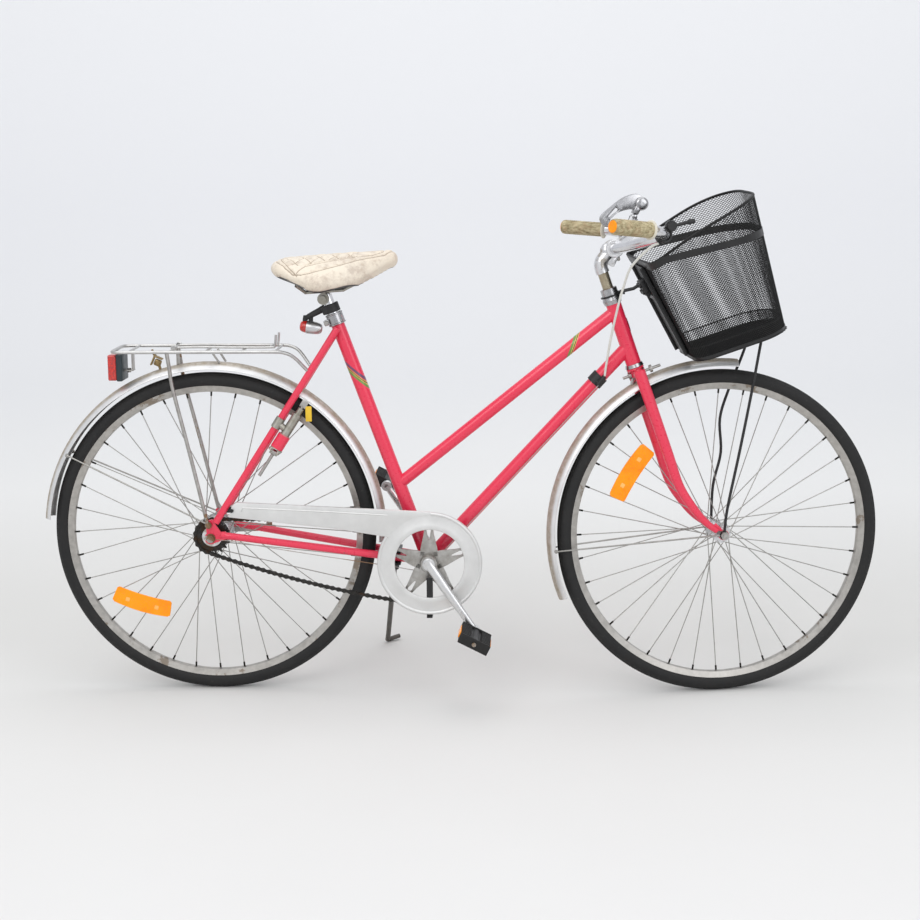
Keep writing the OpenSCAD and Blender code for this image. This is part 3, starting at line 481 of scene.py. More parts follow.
M_AMBER_GLOW, M_RED, M_GRIP = glowing_amber_plastic(), red_plastic(), worn_grip()
M_TYRE = rubber("tyre_rubber", (0.008, 0.008, 0.0085), (0.02, 0.0195, 0.019), (0.06, 0.055, 0.05))
M_PEDAL = rubber("pedal_rubber", (0.008, 0.008, 0.008), (0.02, 0.019, 0.018), (0.05, 0.047, 0.044))
M_CREAM = plastic("grip_flange", (0.60, 0.56, 0.46), (0.72, 0.68, 0.58), 0.4, 0.6).m
M_BRASS = metal("worn_brass_plate", (0.48, 0.43, 0.32), (0.34, 0.29, 0.20), 0.3, 0.5, 70, (1, 1, 1), 0.04).m
M_BRASSY = metal("tarnished_brass", (0.42, 0.31, 0.15), (0.20, 0.14, 0.07), 0.34, 0.6, 140, (1, 1, 1),
                 0.06).m
M_LEVER = metal("lever_alloy", (0.50, 0.50, 0.51), (0.36, 0.36, 0.37), 0.18, 0.32, 60).m
M_SPIDER = metal("grey_spider", (0.50, 0.49, 0.47), (0.30, 0.285, 0.26), 0.32, 0.5, 60).m
M_CRANK = metal("crank_alloy", (0.72, 0.72, 0.72), (0.60, 0.60, 0.60), 0.22, 0.36, 50).m
M_RACK = metal("carrier_steel", (0.60, 0.60, 0.59), (0.46, 0.45, 0.44), 0.26, 0.44, 60).m
M_YELLOW = plastic("yellow_fob", (0.80, 0.52, 0.03), (0.66, 0.40, 0.02), 0.4, 0.6).m
M_CLIP = plastic("pale_amber_clip", (1.0, 0.56, 0.16), (1.0, 0.46, 0.10), 0.2, 0.4).m
M_TEAL = plastic("dark_teal_plastic", (0.012, 0.022, 0.028), (0.022, 0.036, 0.042), 0.3, 0.5).m


def saddle_vinyl():
    """Cream vinyl rubbed brown-grey, with painted shade darkening the creases and seams, and a black shell
    underneath.
    """
    m = Mat("cream_vinyl", Specular_IOR_Level=0.4)
    n1, n2, n3 = m.noise(14, 6, 0.7), m.noise(60, 6, 0.75), m.noise(5, 3, 0.5)
    c = m.mix(m.range(n3, 0.35, 0.65), (0.80, 0.73, 0.62), (0.74, 0.65, 0.53))
    c = m.mix(m.range(m.math("MULTIPLY", n1, n2), 0.22, 0.36, 0, 0.6), c, (0.46, 0.38, 0.32))
    c = m.mix(m.range(n2, 0.54, 0.74, 0, 0.55), c, (0.50, 0.38, 0.27))
    geo = m.node("ShaderNodeNewGeometry")
    # Low pointiness marks the creases and seams, which are darkened here as painted shade.
    crease_shade = m.range(geo.outputs["Pointiness"], 0.42, 0.475, 0.5, 0)
    c = m.mix(crease_shade, c, (0.16, 0.12, 0.09))
    down = m.node("ShaderNodeSeparateXYZ", {0: geo.outputs["Normal"]}).outputs[2]
    c = m.mix(m.range(down, -0.80, -0.72, 1, 0), c, (0.03, 0.028, 0.025))
    m.colour(c)
    m.rough(m.range(n1, 0.3, 0.7, 0.42, 0.62))
    return m.bump(m.voronoi(900), 0.12, 0.0003).m


M_SADDLE = saddle_vinyl()
# Darker brown for the faces along the pressed grooves: painted shade in the grooves.
M_SEAM_SHADE = plastic("seam_shadow", (0.30, 0.23, 0.17), (0.50, 0.42, 0.33), 0.55, 0.75, 300).m


def give(material, *nodes):
    for n in nodes:
        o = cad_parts[n]
        o.data.materials.clear()
        o.data.materials.append(material)


give(M_PAINT, "main_frame", "chain_stays", "seat_stays", "fork")
M_GUARD_R, M_GUARD_F = mudguard("rear_mudguard_metal", MF @ HUBR), mudguard("front_mudguard_metal",
        MS @ HUBF)
give(M_GUARD_R, "rear_mudguard")
give(M_GUARD_F, "front_mudguard")
for side, hub_at in (("rear", MF @ HUBR), ("front", MS @ HUBF)):
    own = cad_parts[side + "_spokes"].matrix_world.inverted() @ hub_at
    give(spokes(side + "_spoke_wire", own), side + "_spokes")
give(M_GUARD, "chainguard")
give(M_RIM, "front_rim", "rear_rim")
give(M_SPOKE, "rear_mudguard_stays", "front_mudguard_stays")
give(M_CHROME, "handlebar", "seatpost")
give(M_LEVER, "lever_perch", "brake_lever", "headset_nuts", "bb_cups", "headset_cups")
give(M_POLISH, "stem", "right_crank", "left_crank", "front_hub", "rear_hub", "seat_clamp")
give(M_STEEL, "rack", "rack_stays", "rack_clip", "rear_axle", "front_axle", "brake_arm", "crown_bolt",
     "gear_wire", "lock_arm")
give(M_ZINC, "lock_housing", "saddle_frame")
give(M_CHAIN, "chain", "rear_sprocket")
give(M_BLACK, "basket_bracket", "basket_stays", "chainguard_straps", "basket", "kickstand_bracket")
give(M_DARK, "kickstand")
give(M_PLASTIC, "shifter_body", "shift_lever", "right_pedal", "left_pedal", "cable_stop", "tail_lamp")
give(M_CABLE, "gear_cable")
give(M_GRIP, "grips")
give(M_TYRE, "front_tyre", "rear_tyre")
give(M_AMBER_GLOW, "front_wheel_reflector", "rear_wheel_reflector")
give(M_RED, "tail_reflector", "lock_key")
give(M_CREAM, "saddle_pad")


# ---------------- tyres with ribs and sipes
def tyre_shape(hub):
    n, mid = 720, R - TR
    phi = np.radians(np.linspace(-138, 138, 43))
    V = []
    for i in range(n):
        t = 2 * pi * i / n
        h = np.zeros_like(phi)
        a = np.degrees(np.abs(phi))
        h -= 0.9 * (np.abs(a - 17) < 3.4) + 0.8 * (np.abs(a - 37) < 3.4)
        step = (i % 4 == 0)
        h -= 0.7 * step * ((a > 43) & (a < 66))
        h += 0.25 * (np.abs(a - 76) < 3.3)
        r = TR - 0.15 + h
        d, y = mid + r * np.cos(phi), r * np.sin(phi)
        V.append(np.c_[hub[0] + d * cos(t), y, hub[2] + d * sin(t)])
    outer = np.concatenate(V)
    m = len(phi)
    F = grid_faces(n, m, True, False)
    ri = TR - 3.2
    inner = [(mid + ri * cos(q), ri * sin(q)) for q in np.radians(np.linspace(132, -132, 9))]
    iv = np.concatenate([np.c_[[hub[0] + d * cos(2 * pi * i / n) for d, _ in inner], [y for _, y in inner],
                               [hub[2] + d * sin(2 * pi * i / n) for d, _ in inner]] for i in range(n)])
    k = len(outer)
    for i in range(n):
        j = (i + 1) % n
        for q in range(8):
            F.append((k + i * 9 + q, k + i * 9 + q + 1, k + j * 9 + q + 1, k + j * 9 + q))
        F.append((i * m + m - 1, j * m + m - 1, k + j * 9, k + i * 9))
        F.append((i * m, k + i * 9 + 8, k + j * 9 + 8, j * m))
    return np.concatenate([outer, iv]), F


piece("rear_tyre_tread", tyre_shape(HUBR), "rear_wheel", M_TYRE, MF, "rear_tyre", 28)
piece("front_tyre_tread", tyre_shape(HUBF), "front_wheel", M_TYRE, MS, "front_tyre", 28)


# ---------------- mudguards with rolled edges and raised lines
def guard_shape(hub, a0, a1):
    arc, crest = 26.0, 366.0
    q = np.radians(np.linspace(-62, 62, 41))
    lift = 0.7 * np.exp(-((np.degrees(q) - 24) / 3.2) ** 2) + 0.7 * np.exp(-((np.degrees(q) + 24)
            / 3.2) ** 2)
    out = [(crest - arc + (arc + l - 0.5) * cos(t), (arc + l - 0.5) * sin(t)) for t, l in zip(q, lift)]
    inn = [(crest - arc + (arc + l - 1.3) * cos(t), (arc + l - 1.3) * sin(t)) for t, l in zip(q, lift)]
    shell = lathe(out + inn[::-1], 160, hub, "Y", a0, a1)
    lip = [lathe([(out[k][0] - 0.6 + 1.2 * cos(w), out[k][1] + 1.2 * sin(w)) for w in np.linspace(0, 2 * pi,
            8, endpoint=False)],
                 160, hub, "Y", a0, a1) for k in (0, 40)]
    return cat(shell, *lip)


piece("rear_mudguard_shell", guard_shape(HUBR, -3, 175), "frame", M_GUARD_R, MF, "rear_mudguard")
piece("front_mudguard_shell", guard_shape(HUBF, 84, 202), "steering", M_GUARD_F, MS, "front_mudguard")

# ---------------- handlebar, grips and lever
bar_half = [[790, 291.5, 983], [829, 268, 979.5], [866, 246, 976], [888, 229, 972], [903, 204, 967],
            [907, 172, 962], [893, 128, 955], [868, 80, 946], [848, 38, 939.5], [842, 20, 938],
            [842, 0, 938]]
bar = bend(bar_half + [[x, -y, z] for x, y, z in bar_half[-2::-1]], 8)
piece("handlebar_tube", tube(bar, 11.05, 28), "steering", M_CHROME, MS, "handlebar")
g_in, g_out = np.array([866, -246, 976.0]), np.array([783, -295.5, 983.5])
gd = (g_out - g_in) / np.linalg.norm(g_out - g_in)
prof = [(11.1, -3.4), (17.8, -3.4), (19, -2.4), (19, -0.6), (17.6, 0.4)]
body = [(15.4 + 0.35 * sin(s * 1.3), s) for s in np.linspace(1.2, 90, 46)]
grip = lathe(body + [(14.6, 93.5), (13.2, 95.4), (12.2, 95.4), (12.0, 93.4), (11.2, 86), (11.2, 1.0)], 40,
             g_in, gd)
flange = lathe(prof + [(15.6, 1.1), (11.2, 1.1)], 40, g_in, gd)
piece("grip_sleeves", both(grip), "steering", M_GRIP, MS, "grips")
piece("grip_flanges", both(flange), "steering", M_CREAM, MS)
lens = lathe([(0.4, 93.5), (11.9, 93.5), (11.9, 95.6), (11.0, 97.0), (8.6, 97.4), (8.0, 96.8), (0.4, 97.2)],
             40, g_in, gd, closed=False)
piece("grip_end_reflectors", both(lens), "steering", M_AMBER_GLOW, MS)

# ---------------- basket of expanded metal
MB = MS @ Matrix.Translation((999, 0, 712)) @ Matrix.Rotation(rad(-17.7), 4,
        "Y") @ Matrix.Rotation(rad(4.6), 4, "X")
BASKET_H, RIM_DROP, CELLS, ROW = 288.0, 60.0, 122, 2.7


def basket_outline(w, n):
    """Closed outline of the basket at height w: n even points, the first in the middle of the back."""
    t = w / BASKET_H
    lo, hi, half, rb, rf = 2 - 58 * t, 207 + 7 * t, 92 + 46 * t, 34 + 2 * t, 70 + 35 * t
    corners = [(lo + rb, rb - half, rb, 180), (hi - rf, rf - half, rf, 270), (hi - rf, half - rf, rf, 0),
               (lo + rb, half - rb, rb, 90)]
    arcs = [(u + r * cos(rad(a)), y + r * sin(rad(a))) for u, y, r, a0 in corners for a in np.linspace(a0,
            a0 + 90, 12)]
    p = np.array([(lo, 0.0), *arcs, (lo, 0.0)])
    s = np.r_[0, np.cumsum(np.linalg.norm(np.diff(p, axis=0), axis=1))]
    q = np.linspace(0, s[-1], n, endpoint=False)
    return np.c_[np.interp(q, s, p[:, 0]), np.interp(q, s, p[:, 1]), np.full(n, w)]


LOW_LINE, HIGH_LINE = basket_outline(0, 2 * CELLS), basket_outline(BASKET_H, 2 * CELLS)
_run = np.roll(HIGH_LINE, -1, 0) - np.roll(HIGH_LINE, 1, 0)
OUTWARD = np.c_[_run[:, 1], -_run[:, 0], 0 * _run[:, 0]] / np.linalg.norm(_run, axis=1)[:, None]
if (OUTWARD * (HIGH_LINE - HIGH_LINE.mean(0))).sum() < 0:
    OUTWARD = -OUTWARD
_s = (HIGH_LINE[:, 0] - HIGH_LINE[:, 0].min()) / np.ptp(HIGH_LINE[:, 0])
RIM_W = BASKET_H - RIM_DROP * (1 - _s) ** 1.5


def wall(i, w, out=0.0):
    """Points of the basket's wall: i counts half cells from the back, w the height, out how far outside."""
    i = np.asarray(i) % (2 * CELLS)
    t = (np.broadcast_to(np.asarray(w, float), i.shape) / BASKET_H)[:, None]
    return LOW_LINE[i] * (1 - t) + HIGH_LINE[i] * t + out * OUTWARD[i]


def strands(A, B, r):
    """Three-sided bars from the points A to the points B."""
    d = (B - A) / np.linalg.norm(B - A, axis=1)[:, None]
    u = np.cross(d, np.where(np.abs(d[:, 2:]) > 0.8, (1.0, 0.2, 0.0), (0.0, 0.0, 1.0)))
    u /= np.linalg.norm(u, axis=1)[:, None]
    v = np.cross(d, u)
    V = np.stack([P + r * (cos(a) * u + sin(a) * v) for P in (A, B) for a in (0.5, 0.5 + 2 * pi / 3,
            0.5 + 4 * pi / 3)], 1)
    F = [(k + a, k + b, k + 3 + b, k + 3 + a) for k in range(0, 6 * len(A), 6) for a, b in ((0, 1), (1, 2),
            (2, 0))]
    return V.reshape(-1, 3), F


def wall_mesh(low, high, out, r):
    """Diamond mesh on the wall between two heights, cut off under the rim."""
    A, B = [], []
    top = np.minimum(RIM_W, high)
    for j in range(int((BASKET_H - low) / ROW)):
        i = np.arange(j % 2, 2 * CELLS, 2)
        w0, w1 = low + ROW * j, low + ROW * (j + 1)
        for step in (-1, 1):
            k = (i + step) % (2 * CELLS)
            keep = (w0 < top[i] - 0.5) & (w0 < high)
            A.append(wall(i[keep], np.minimum(w0, top[i[keep]]), out))
            B.append(wall(k[keep], np.minimum(w1, top[k[keep]]), out))
    return strands(np.concatenate(A), np.concatenate(B), r)


def floor_mesh(r):
    A, B = [], []
    edge = np.array([p[:2] for p in LOW_LINE])
    for j in range(int(210 / ROW)):
        u = 2 + ROW * j
        inside = np.abs(edge[:, 0] - u) < 3
        half = np.abs(edge[inside, 1]).max() if inside.any() else 0
        for i in range(int(92 / 2.8) * 2 + 1):
            y = (i - 32) * 2.8
            if (i + j) % 2 == 0 and abs(y) < half - 2:
                A += [(u, y, 1.0)] * 2
                B += [(u + ROW, y - 2.8, 1.0), (u + ROW, y + 2.8, 1.0)]
    return strands(np.array(A), np.array(B), r)


def wall_strip(lows, highs, out, thick):
    n = 2 * CELLS
    i = np.arange(n)
    lows, highs = np.broadcast_to(lows, n), np.broadcast_to(highs, n)
    V = np.stack([wall(i, lows, out), wall(i, highs, out), wall(i, highs, out + thick),
                  wall(i, lows, out + thick)], 1)
    return V.reshape(-1, 3), grid_faces(n, 4, True, True)


every = np.arange(2 * CELLS)
piece("basket_mesh", cat(wall_mesh(3.0, 300.0, 0, 0.68), wall_mesh(3.0, 31.0, -2.2, 0.68),
                         floor_mesh(0.68)),
      "steering", M_WIRE, MB, "basket", 80)
band_top = np.minimum(219 + 0.08 * (214 - HIGH_LINE[:, 0]), RIM_W + 1)
rim = tube(wall(every[::3], RIM_W[::3], -1.2), 2.9, 10, True, section=None)
line = tube(wall(every[::3], 31.0, -1.2), 1.5, 8, True)
foot = tube(wall(every[::3], 2.2, 0.2), 2.2, 8, True)
piece("basket_rim", cat(rim, line, foot), "steering", M_WIRE, MB)
piece("basket_bands", cat(wall_strip(band_top - 15, band_top, 0.8, 0.9), wall_strip(0.5, 9.0, 0.7, 0.8)),
      "steering", M_BLACK, MB)

back = Matrix.Translation((0.5, 0, 0)) @ Matrix.Rotation(rad(-11.4), 4, "Y")


def slab(size, c, edge=1.0):
    return moved(block(size, c, edge=edge), back)


bracket = cat(slab((2.5, 84, 206), (-3.2, 0, 118), 1), slab((9, 3, 206), (-6, -41, 118), 0.8),
              slab((9, 3, 206), (-6, 41, 118), 0.8),
              slab((16, 30, 34), (-11, 0, 175), 2), slab((5, 46, 10), (-6, 0, 150), 1),
              *[moved(rod((-18, y, w), (-22.5, y, w), 5.6, n=6, edge=0.5), back) for y in (-8, 8)
                for w in (168, 183)],
              moved(rod((-14, -17, 160), (-14, 17, 160), 4.5, n=18), back))
piece("basket_back_plate", bracket, "steering", M_BLACK, MB, "basket_bracket")
_ring = [(12.75, 16.2), (21, 16.2), (21.3, 17.6), (21, 19.0), (12.75, 19.0)]
piece("basket_strut", cat(tube([[893, -12, 863], [882, -11, 856], on_head(548) + [22, -2, 7], on_head(548)
                                + [17, 0, 4]], 3.6, 12),
                          lathe([(r, s + 529) for r, s in _ring], 40, HB, HD),
                          block((16, 13, 4), on_head(548) + [22, 0, 5], Matrix.Rotation(rad(19), 3, "Y"),
                                0.8)),
      "steering", M_BLACK, MS)
near = [[1066, -57.2, 343], [1072, -58, 400], [1098, -54, 520], [1122, -52, 640], [1143, -50, 754.6]]
far = [[1066, 57.2, 343], [1070, 60, 430], [1087, 62, 502], [1084, 60, 575], [1102, 55, 640],
       [1132, 50, 720], [1143, 50, 763]]
stay_eye = lathe([(4.9, 56.2), (9, 56.2), (9.4, 57.3), (9, 58.5), (4.9, 58.5)], 28, HUBF)
piece("basket_stay_bars", cat(tube(bend(near, 8), 3.0, 12), tube(bend(far, 6), 3.0, 12), both(stay_eye)),
      "steering", M_BLACK, MS, "basket_stays")

# ---------------- fork and stem
blade = [on_head(384) + [0, -37, 0], on_head(300) + [0, -40, 0], on_head(200) + [0, -45, 0], on_head(130)
         + [0, -49, 0],
         [1000, -51.5, 403], [1026, -52, 372], [1052, -52, 352]]
path = bend(blade, 8)
k = np.linspace(0, 1, len(path))
tine = tube(path, 12.5 - 6.2 * k ** 1.3, 20, up=(0, 1, 0), flat=0.82 + 0.18 * k)
tip = plate(ring((1066, 343), 11, 30, -150, 130) + [(1038, 356), (1049, 369), (1062, 356)][::1], -54, -50,
            (ring((1066, 343), 4.9, 24),), 0.5)
crown = cat(rod(on_head(376) + [0, -38, 0], on_head(376) + [0, 38, 0], 11, n=28, edge=2), rod(on_head(385),
        on_head(389.5), 19, 18.4, 36, 1),
            rod(on_head(370), on_head(392), 13.6, n=28), rod(on_head(378), on_head(561), 12.7, n=32))
piece("fork_blades", cat(both(tine), both(tip), crown), "steering", M_PAINT, MS, "fork")

column = lathe([(0.5, 490), (11.1, 490), (11.1, 596), (11.4, 598)], 32, HB, HD, closed=False)
piece("stem_column", column, "steering", M_BRASS, MS, "stem")
neck_a, neck_b, neck_c = on_head(596), on_head(616), np.array([842, 0, 938.0])
neck = bend([neck_a, on_head(606), neck_b + [3, 0, 4], 0.5 * (neck_b + neck_c) + [0, 0, 4], neck_c
             + [-14, 0, -2], neck_c], 6)
kk = np.linspace(0, 1, len(neck))
clamp = lathe([(11.2, -19), (17.3, -19), (18.3, -18), (18.3, 18), (17.3, 19), (11.2, 19)], 40, neck_c)
ear = block((15, 16, 24), neck_c + [-2, 0, -24], Matrix.Rotation(rad(25), 3, "Y"), 2)
pinch = cat(rod(neck_c + [-15, 0, -26], neck_c + [-9, 0, -25], 5.6, n=6, edge=0.6),
            rod(neck_c + [7, 0, -21], neck_c + [13, 0, -19.6], 5.2, n=20, edge=1))
piece("stem_neck", cat(tube(neck, 14.2 - 0.8 * kk, 24, up=(0, 1, 0)), clamp, ear), "steering", M_POLISH, MS)
piece("stem_bolt", pinch, "steering", M_STEEL, MS)

lever_line = [[948, 1044], [937, 1051], [922, 1052], [899, 1044], [872, 1024], [851, 1005], [853, 990],
              [864, 981],
              [873, 984], [874, 999], [890, 1012], [916, 1019], [936, 1017], [948, 1026]]
lever_out = bend(np.c_[lever_line + lever_line[:1], np.zeros(15)], 4)[:-1, :2]
hand = plate([tuple(p) for p in lever_out], 198.5, 208.5, ([(867, 1003), (874, 1003.5), (891, 1019),
        (886, 1024)],), 3.6)
piece("brake_lever_blade", cat(hand, rod((941, 189, 1031), (941, 217, 1031), 2.95, n=18)), "lever", M_LEVER,
      MS, "brake_lever")

# Perch: a split collar on the bar, a strut and a rounded fork for the lever's pin
PERCH, PIN = np.array([905, 184, 964.0]), np.array([941, 0, 1031.0])
collar = lathe([(11.3, -9), (15, -9), (16, -8), (16, 8), (15, 9), (11.3, 9)], 36, PERCH, (0.316, 0.949, 0))
strut = tube(bend([PERCH + [4, 2, 9], [916, 192, 988], [922, 197, 997], [924, 198, 1001]], 5),
             np.linspace(9, 10.5, 16), 20,
             flat=0.62, up=(0, 1, 0))
cheek = [(3.1, 0), (9, 0), (12.4, 1.2), (14.4, 3.6), (14.9, 6.4), (13.8, 9.0), (3.1, 9.0)]
cheeks = [lathe([(r, 188.4 + t) for r, t in cheek], 40, PIN),
          lathe([(r, 217.8 - t) for r, t in cheek], 40, PIN)]
webs = [block((13, 7.5, 20), (931, y, 1018), Matrix.Rotation(rad(28), 3, "Y"), 2.5) for y in (193.5, 213.5)]
piece("lever_perch_body", cat(collar, strut, *cheeks, *webs, block((12, 26, 10), (925, 203, 1003.5), edge=3)),
      "steering",
      M_LEVER, MS, "lever_perch")

# ---------------- saddle
def stuffed(node, name, voxel, shrink, pressure, cap):
    """Copy of a CAD solid swollen by cloth under inner pressure, no point moved by more than cap."""
    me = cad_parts[node].data.copy()
    me.transform(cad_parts[node].matrix_world)
    o = bpy.data.objects.new(name, me)
    scene.collection.objects.link(o)
    m = o.modifiers.new("even", "REMESH")
    m.mode, m.voxel_size = "VOXEL", voxel
    o.modifiers.new("soft", "SMOOTH").iterations = 4
    baked = settled(o)
    for v in baked.vertices:
        v.co -= shrink * v.normal
    o.modifiers.clear()
    o.data = baked
    c = o.modifiers.new("swell", "CLOTH")
    c.settings.use_pressure = True
    c.settings.uniform_pressure_force = pressure
    c.settings.effector_weights.gravity = 0
    c.settings.mass = 0.2
    start = np.array([v.co[:] for v in baked.vertices])
    for f in range(1, 21):
        scene.frame_set(f)
    swollen = settled(o)
    d = np.array([v.co[:] for v in swollen.vertices]) - start
    length = np.linalg.norm(d, axis=1)[:, None]
    d *= np.minimum(1, cap / np.maximum(length, 1e-9))
    for v, q in zip(swollen.vertices, start + d):
        v.co = q
    o.modifiers.clear()
    o.data = swollen
    scene.frame_set(1)
    s = o.modifiers.new("fine", "SUBSURF")
    s.levels = s.render_levels = 1
    fine = settled(o)
    bpy.data.objects.remove(o)
    return fine


def settled(o):
    return bpy.data.meshes.new_from_object(o.evaluated_get(bpy.context.evaluated_depsgraph_get()))


def near_line(q, line):
    """Distance in plan from the points q to the open line."""
    best = np.full(len(q), 1e9)
    for a, b in zip(line[:-1], line[1:]):
        a, b = np.array(a, float), np.array(b, float)
        t = np.clip(((q - a) @ (b - a)) / ((b - a) @ (b - a)), 0, 1)[:, None]
        best = np.minimum(best, np.linalg.norm(q - a - t * (b - a), axis=1))
    return best


def saddle():
    me = stuffed("saddle_pad", "saddle_swelling", 0.0045, 0.0012, 3.0, 0.004)
    s = bmesh.new()
    s.from_mesh(me)
    bmesh.ops.triangulate(s, faces=s.faces[:])
    bmesh.ops.subdivide_edges(s, edges=s.edges[:], cuts=1, use_grid_fill=True)
    s.normal_update()
    inverse = np.array(MF.inverted())
    V, N = np.array([v.co[:] for v in s.verts]), np.array([v.normal[:] for v in s.verts])
    P = V @ inverse[:3, :3].T + inverse[:3, 3]
    up = (N @ inverse[:3, :3].T)[:, 2]
    up /= np.abs(up).max()
    q = np.c_[P[:, 0], np.abs(P[:, 1])]
    outer = [(146, 0), (148, 26), (158, 48), (171, 66), (188, 80), (205, 85), (222, 83.5), (239, 76.5),
             (283, 58), (332, 36), (372, 20), (390, 0)]
    inner = [(196, 80), (203, 72.5), (212, 64), (242, 53), (282, 41), (312, 33), (347, 24), (366, 12),
             (370, 0)]
    roll = [(196, 84), (178, 66), (166, 46), (158, 24), (157, 0)]
    on_top = up > -0.15
    near = np.minimum(near_line(q, outer), near_line(q, inner))
    dent = 2.2 * np.exp(-(near / 2.0) ** 2)
    dent += 1.6 * np.exp(-(near_line(q, roll) / 1.8) ** 2)
    # This mask marks the pressed grooves on top; faces along it get the darker seam material as painted shade.
    groove_shade = np.exp(-(np.minimum(near, near_line(q, roll)) / 1.0) ** 2) * on_top
    edge = np.interp(q[:, 0], [157, 166, 180, 203, 242, 300], [0, 44, 60, 66, 51, 36])
    middle = (q[:, 1] < edge - 2) & (q[:, 0] > 158) & (q[:, 0] < 316)
    for turn in (-1, 1):
        c = (P[:, 0] * cos(rad(32)) + turn * P[:, 1] * sin(rad(32)))
        off = np.abs((c + 500) % 27 - 13.5)
        dent += middle * 1.9 * np.exp(-(off / 1.9) ** 2)
        groove_shade = np.maximum(groove_shade, middle * on_top * np.exp(-(off / 0.95) ** 2))
        dent -= middle * 0.8 * np.sin(np.clip(off / 13.5, 0, 1) * pi / 2)
    V = V - (dent * on_top / 1000)[:, None] * N
    for v, c in zip(s.verts, V):
        v.co = c
    s.to_mesh(me)
    s.free()
    me.shade_smooth()
    me.name = "saddle_cushion"
    me.materials.clear()
    me.materials.append(M_SADDLE)
    me.materials.append(M_SEAM_SHADE)
    # Faces in the grooves take the second, darker material: painted shade.
    for poly in me.polygons:
        poly.material_index = int(groove_shade[list(poly.vertices)].mean() > 0.5)
    o = bpy.data.objects.new("saddle_cushion", me)
    scene.collection.objects.link(o)
    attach(o, "saddle")
    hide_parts("saddle_pad")


saddle()

# ---------------- tail lamp and seat clamp
lamp_a, lamp_b = np.array([244.0, 0, 773.8]), np.array([190.0, 0, 782.3])
ld = (lamp_b - lamp_a) / np.linalg.norm(lamp_b - lamp_a)
shell = [(0.5, 6.6), (5, 6.8), (8.8, 8.5), (11.6, 14), (13.4, 26), (13.9, 37), (13.6, 40), (12.6, 40),
         (12.6, 36), (0.5, 36)]
glow = [(0.5, 36.5), (12.5, 36.5), (12.5, 42), (11.9, 47), (9.6, 52), (5, 54.2), (0.5, 54.5)]
at = on_seat(819)
collar = lathe([(12.8, -9.3), (16.2, -9.3), (17, -8.4), (17, 8.4), (16.2, 9.3), (12.8, 9.3)], 36, at, SEAT)
arm = tube(bend([at + [-13, 0, 1], at + [-22, 0, -4], [212, 0, 803], [203, 0, 797.5]], 5), np.linspace(8,
        4.8, 16), 14, flat=0.75, up=(0, 1, 0))
knob = cat(rod((201, 0, 792), (202, 0, 804), 5, 4, 20, 1), rod((202, -7, 799), (202, 7, 799), 2.6, n=14),
           rod((214, 0, 786), (214, 0, 800), 4.5))
piece("lamp_shell", lathe(shell, 40, lamp_a, ld, closed=False), "post", M_ALU, MF, "tail_lamp")
piece("lamp_lens", lathe(glow, 40, lamp_a, ld, closed=False), "post", M_RED, MF)
piece("lamp_bracket", cat(collar, arm, knob, moved(block((13, 30, 17), (-13, 0, 0), edge=2.5),
                                                   Matrix.Translation(at) @ Matrix.Rotation(rad(-20), 4,
                                                           "Y"))),
      "post", M_PLASTIC, MF)

grip_at = on_seat(800) - 3.5 * SEAT
turn20 = Matrix.Translation(grip_at) @ Matrix.Rotation(rad(-20), 4, "Y")
band = lathe([(14.4, -12.5), (17.6, -12.5), (18.5, -11.6), (18.5, -9.6), (17.7, -8.8), (17.7, 8.8),
              (18.5, 9.6), (18.5, 11.6), (17.6, 12.5), (14.4, 12.5)],
             44, grip_at, SEAT, -160, 160)
lug = moved(both(block((13, 9, 12), (-19, -6.6, -1.5), edge=2)), turn20)
bolt = moved(cat(rod((-19.5, -17.5, -1.5), (-19.5, -11, -1.5), 5.4, 5.4, 22, 1), rod((-19.5, 11, -1.5),
        (-19.5, 16.5, -1.5), 5.4, n=6, edge=0.7),
                 rod((-19.5, -16, -1.5), (-19.5, 16, -1.5), 3)), turn20)
piece("seat_clamp_band", cat(band, lug), "frame", M_LEVER, MF, "seat_clamp")
piece("seat_clamp_bolt", bolt, "frame", M_STEEL, MF)

# ---------------- chainguard
disc_c = (459, 288)
prof = [(73, -64), (73.6, -65), (75, -65.4), (84, -65.4), (85.5, -64.8), (104, -64.8), (104, -63.2),
        (86, -63.2), (84, -64), (74.4, -63.6)]
rolled = [(103, -63.3), (103, -64.9), (104.5, -66.2), (107, -66.4), (109, -65.6), (110, -64), (110, -57.2),
          (108.8, -57.2),
          (108.6, -63), (106, -64.8), (104, -63.6)]
disc = cat(lathe(prof, 120, (459, 0, 288)), lathe(rolled, 110, (459, 0, 288), "Y", 147, 448))
tail_line = [(39, 388), (47, 412), (56, 419.5), (463, 397.9)] + ring(disc_c, 103, 16, 88,
        146) + [(370, 346), (261, 364)]
tail = plate(tail_line, -65.4, -64, (), 0.4)
lip = cat(tube([[261, -62, 365], [39.8, -62, 389], [47.6, -62, 411.4], [56.5, -62, 418.4],
                [255, -62, 408.2], [461, -62, 397.6]], 2.0, 10, up=(0, 1, 0), flat=1.6),
          tube([[372, -62, 347], [316, -62, 356], [261, -62, 365]], 2.0, 10, up=(0, 1, 0), flat=1.6))
bead = tube([[66, -65.2, 400], [70, -65.2, 408], [250, -65.2, 399.6], [372, -65.2, 392]], 1.6, 10,
            up=(0, 1, 0))
piece("chainguard_pressing", cat(disc, tail, lip, bead), "frame", M_GUARD, MF, "chainguard", 40)

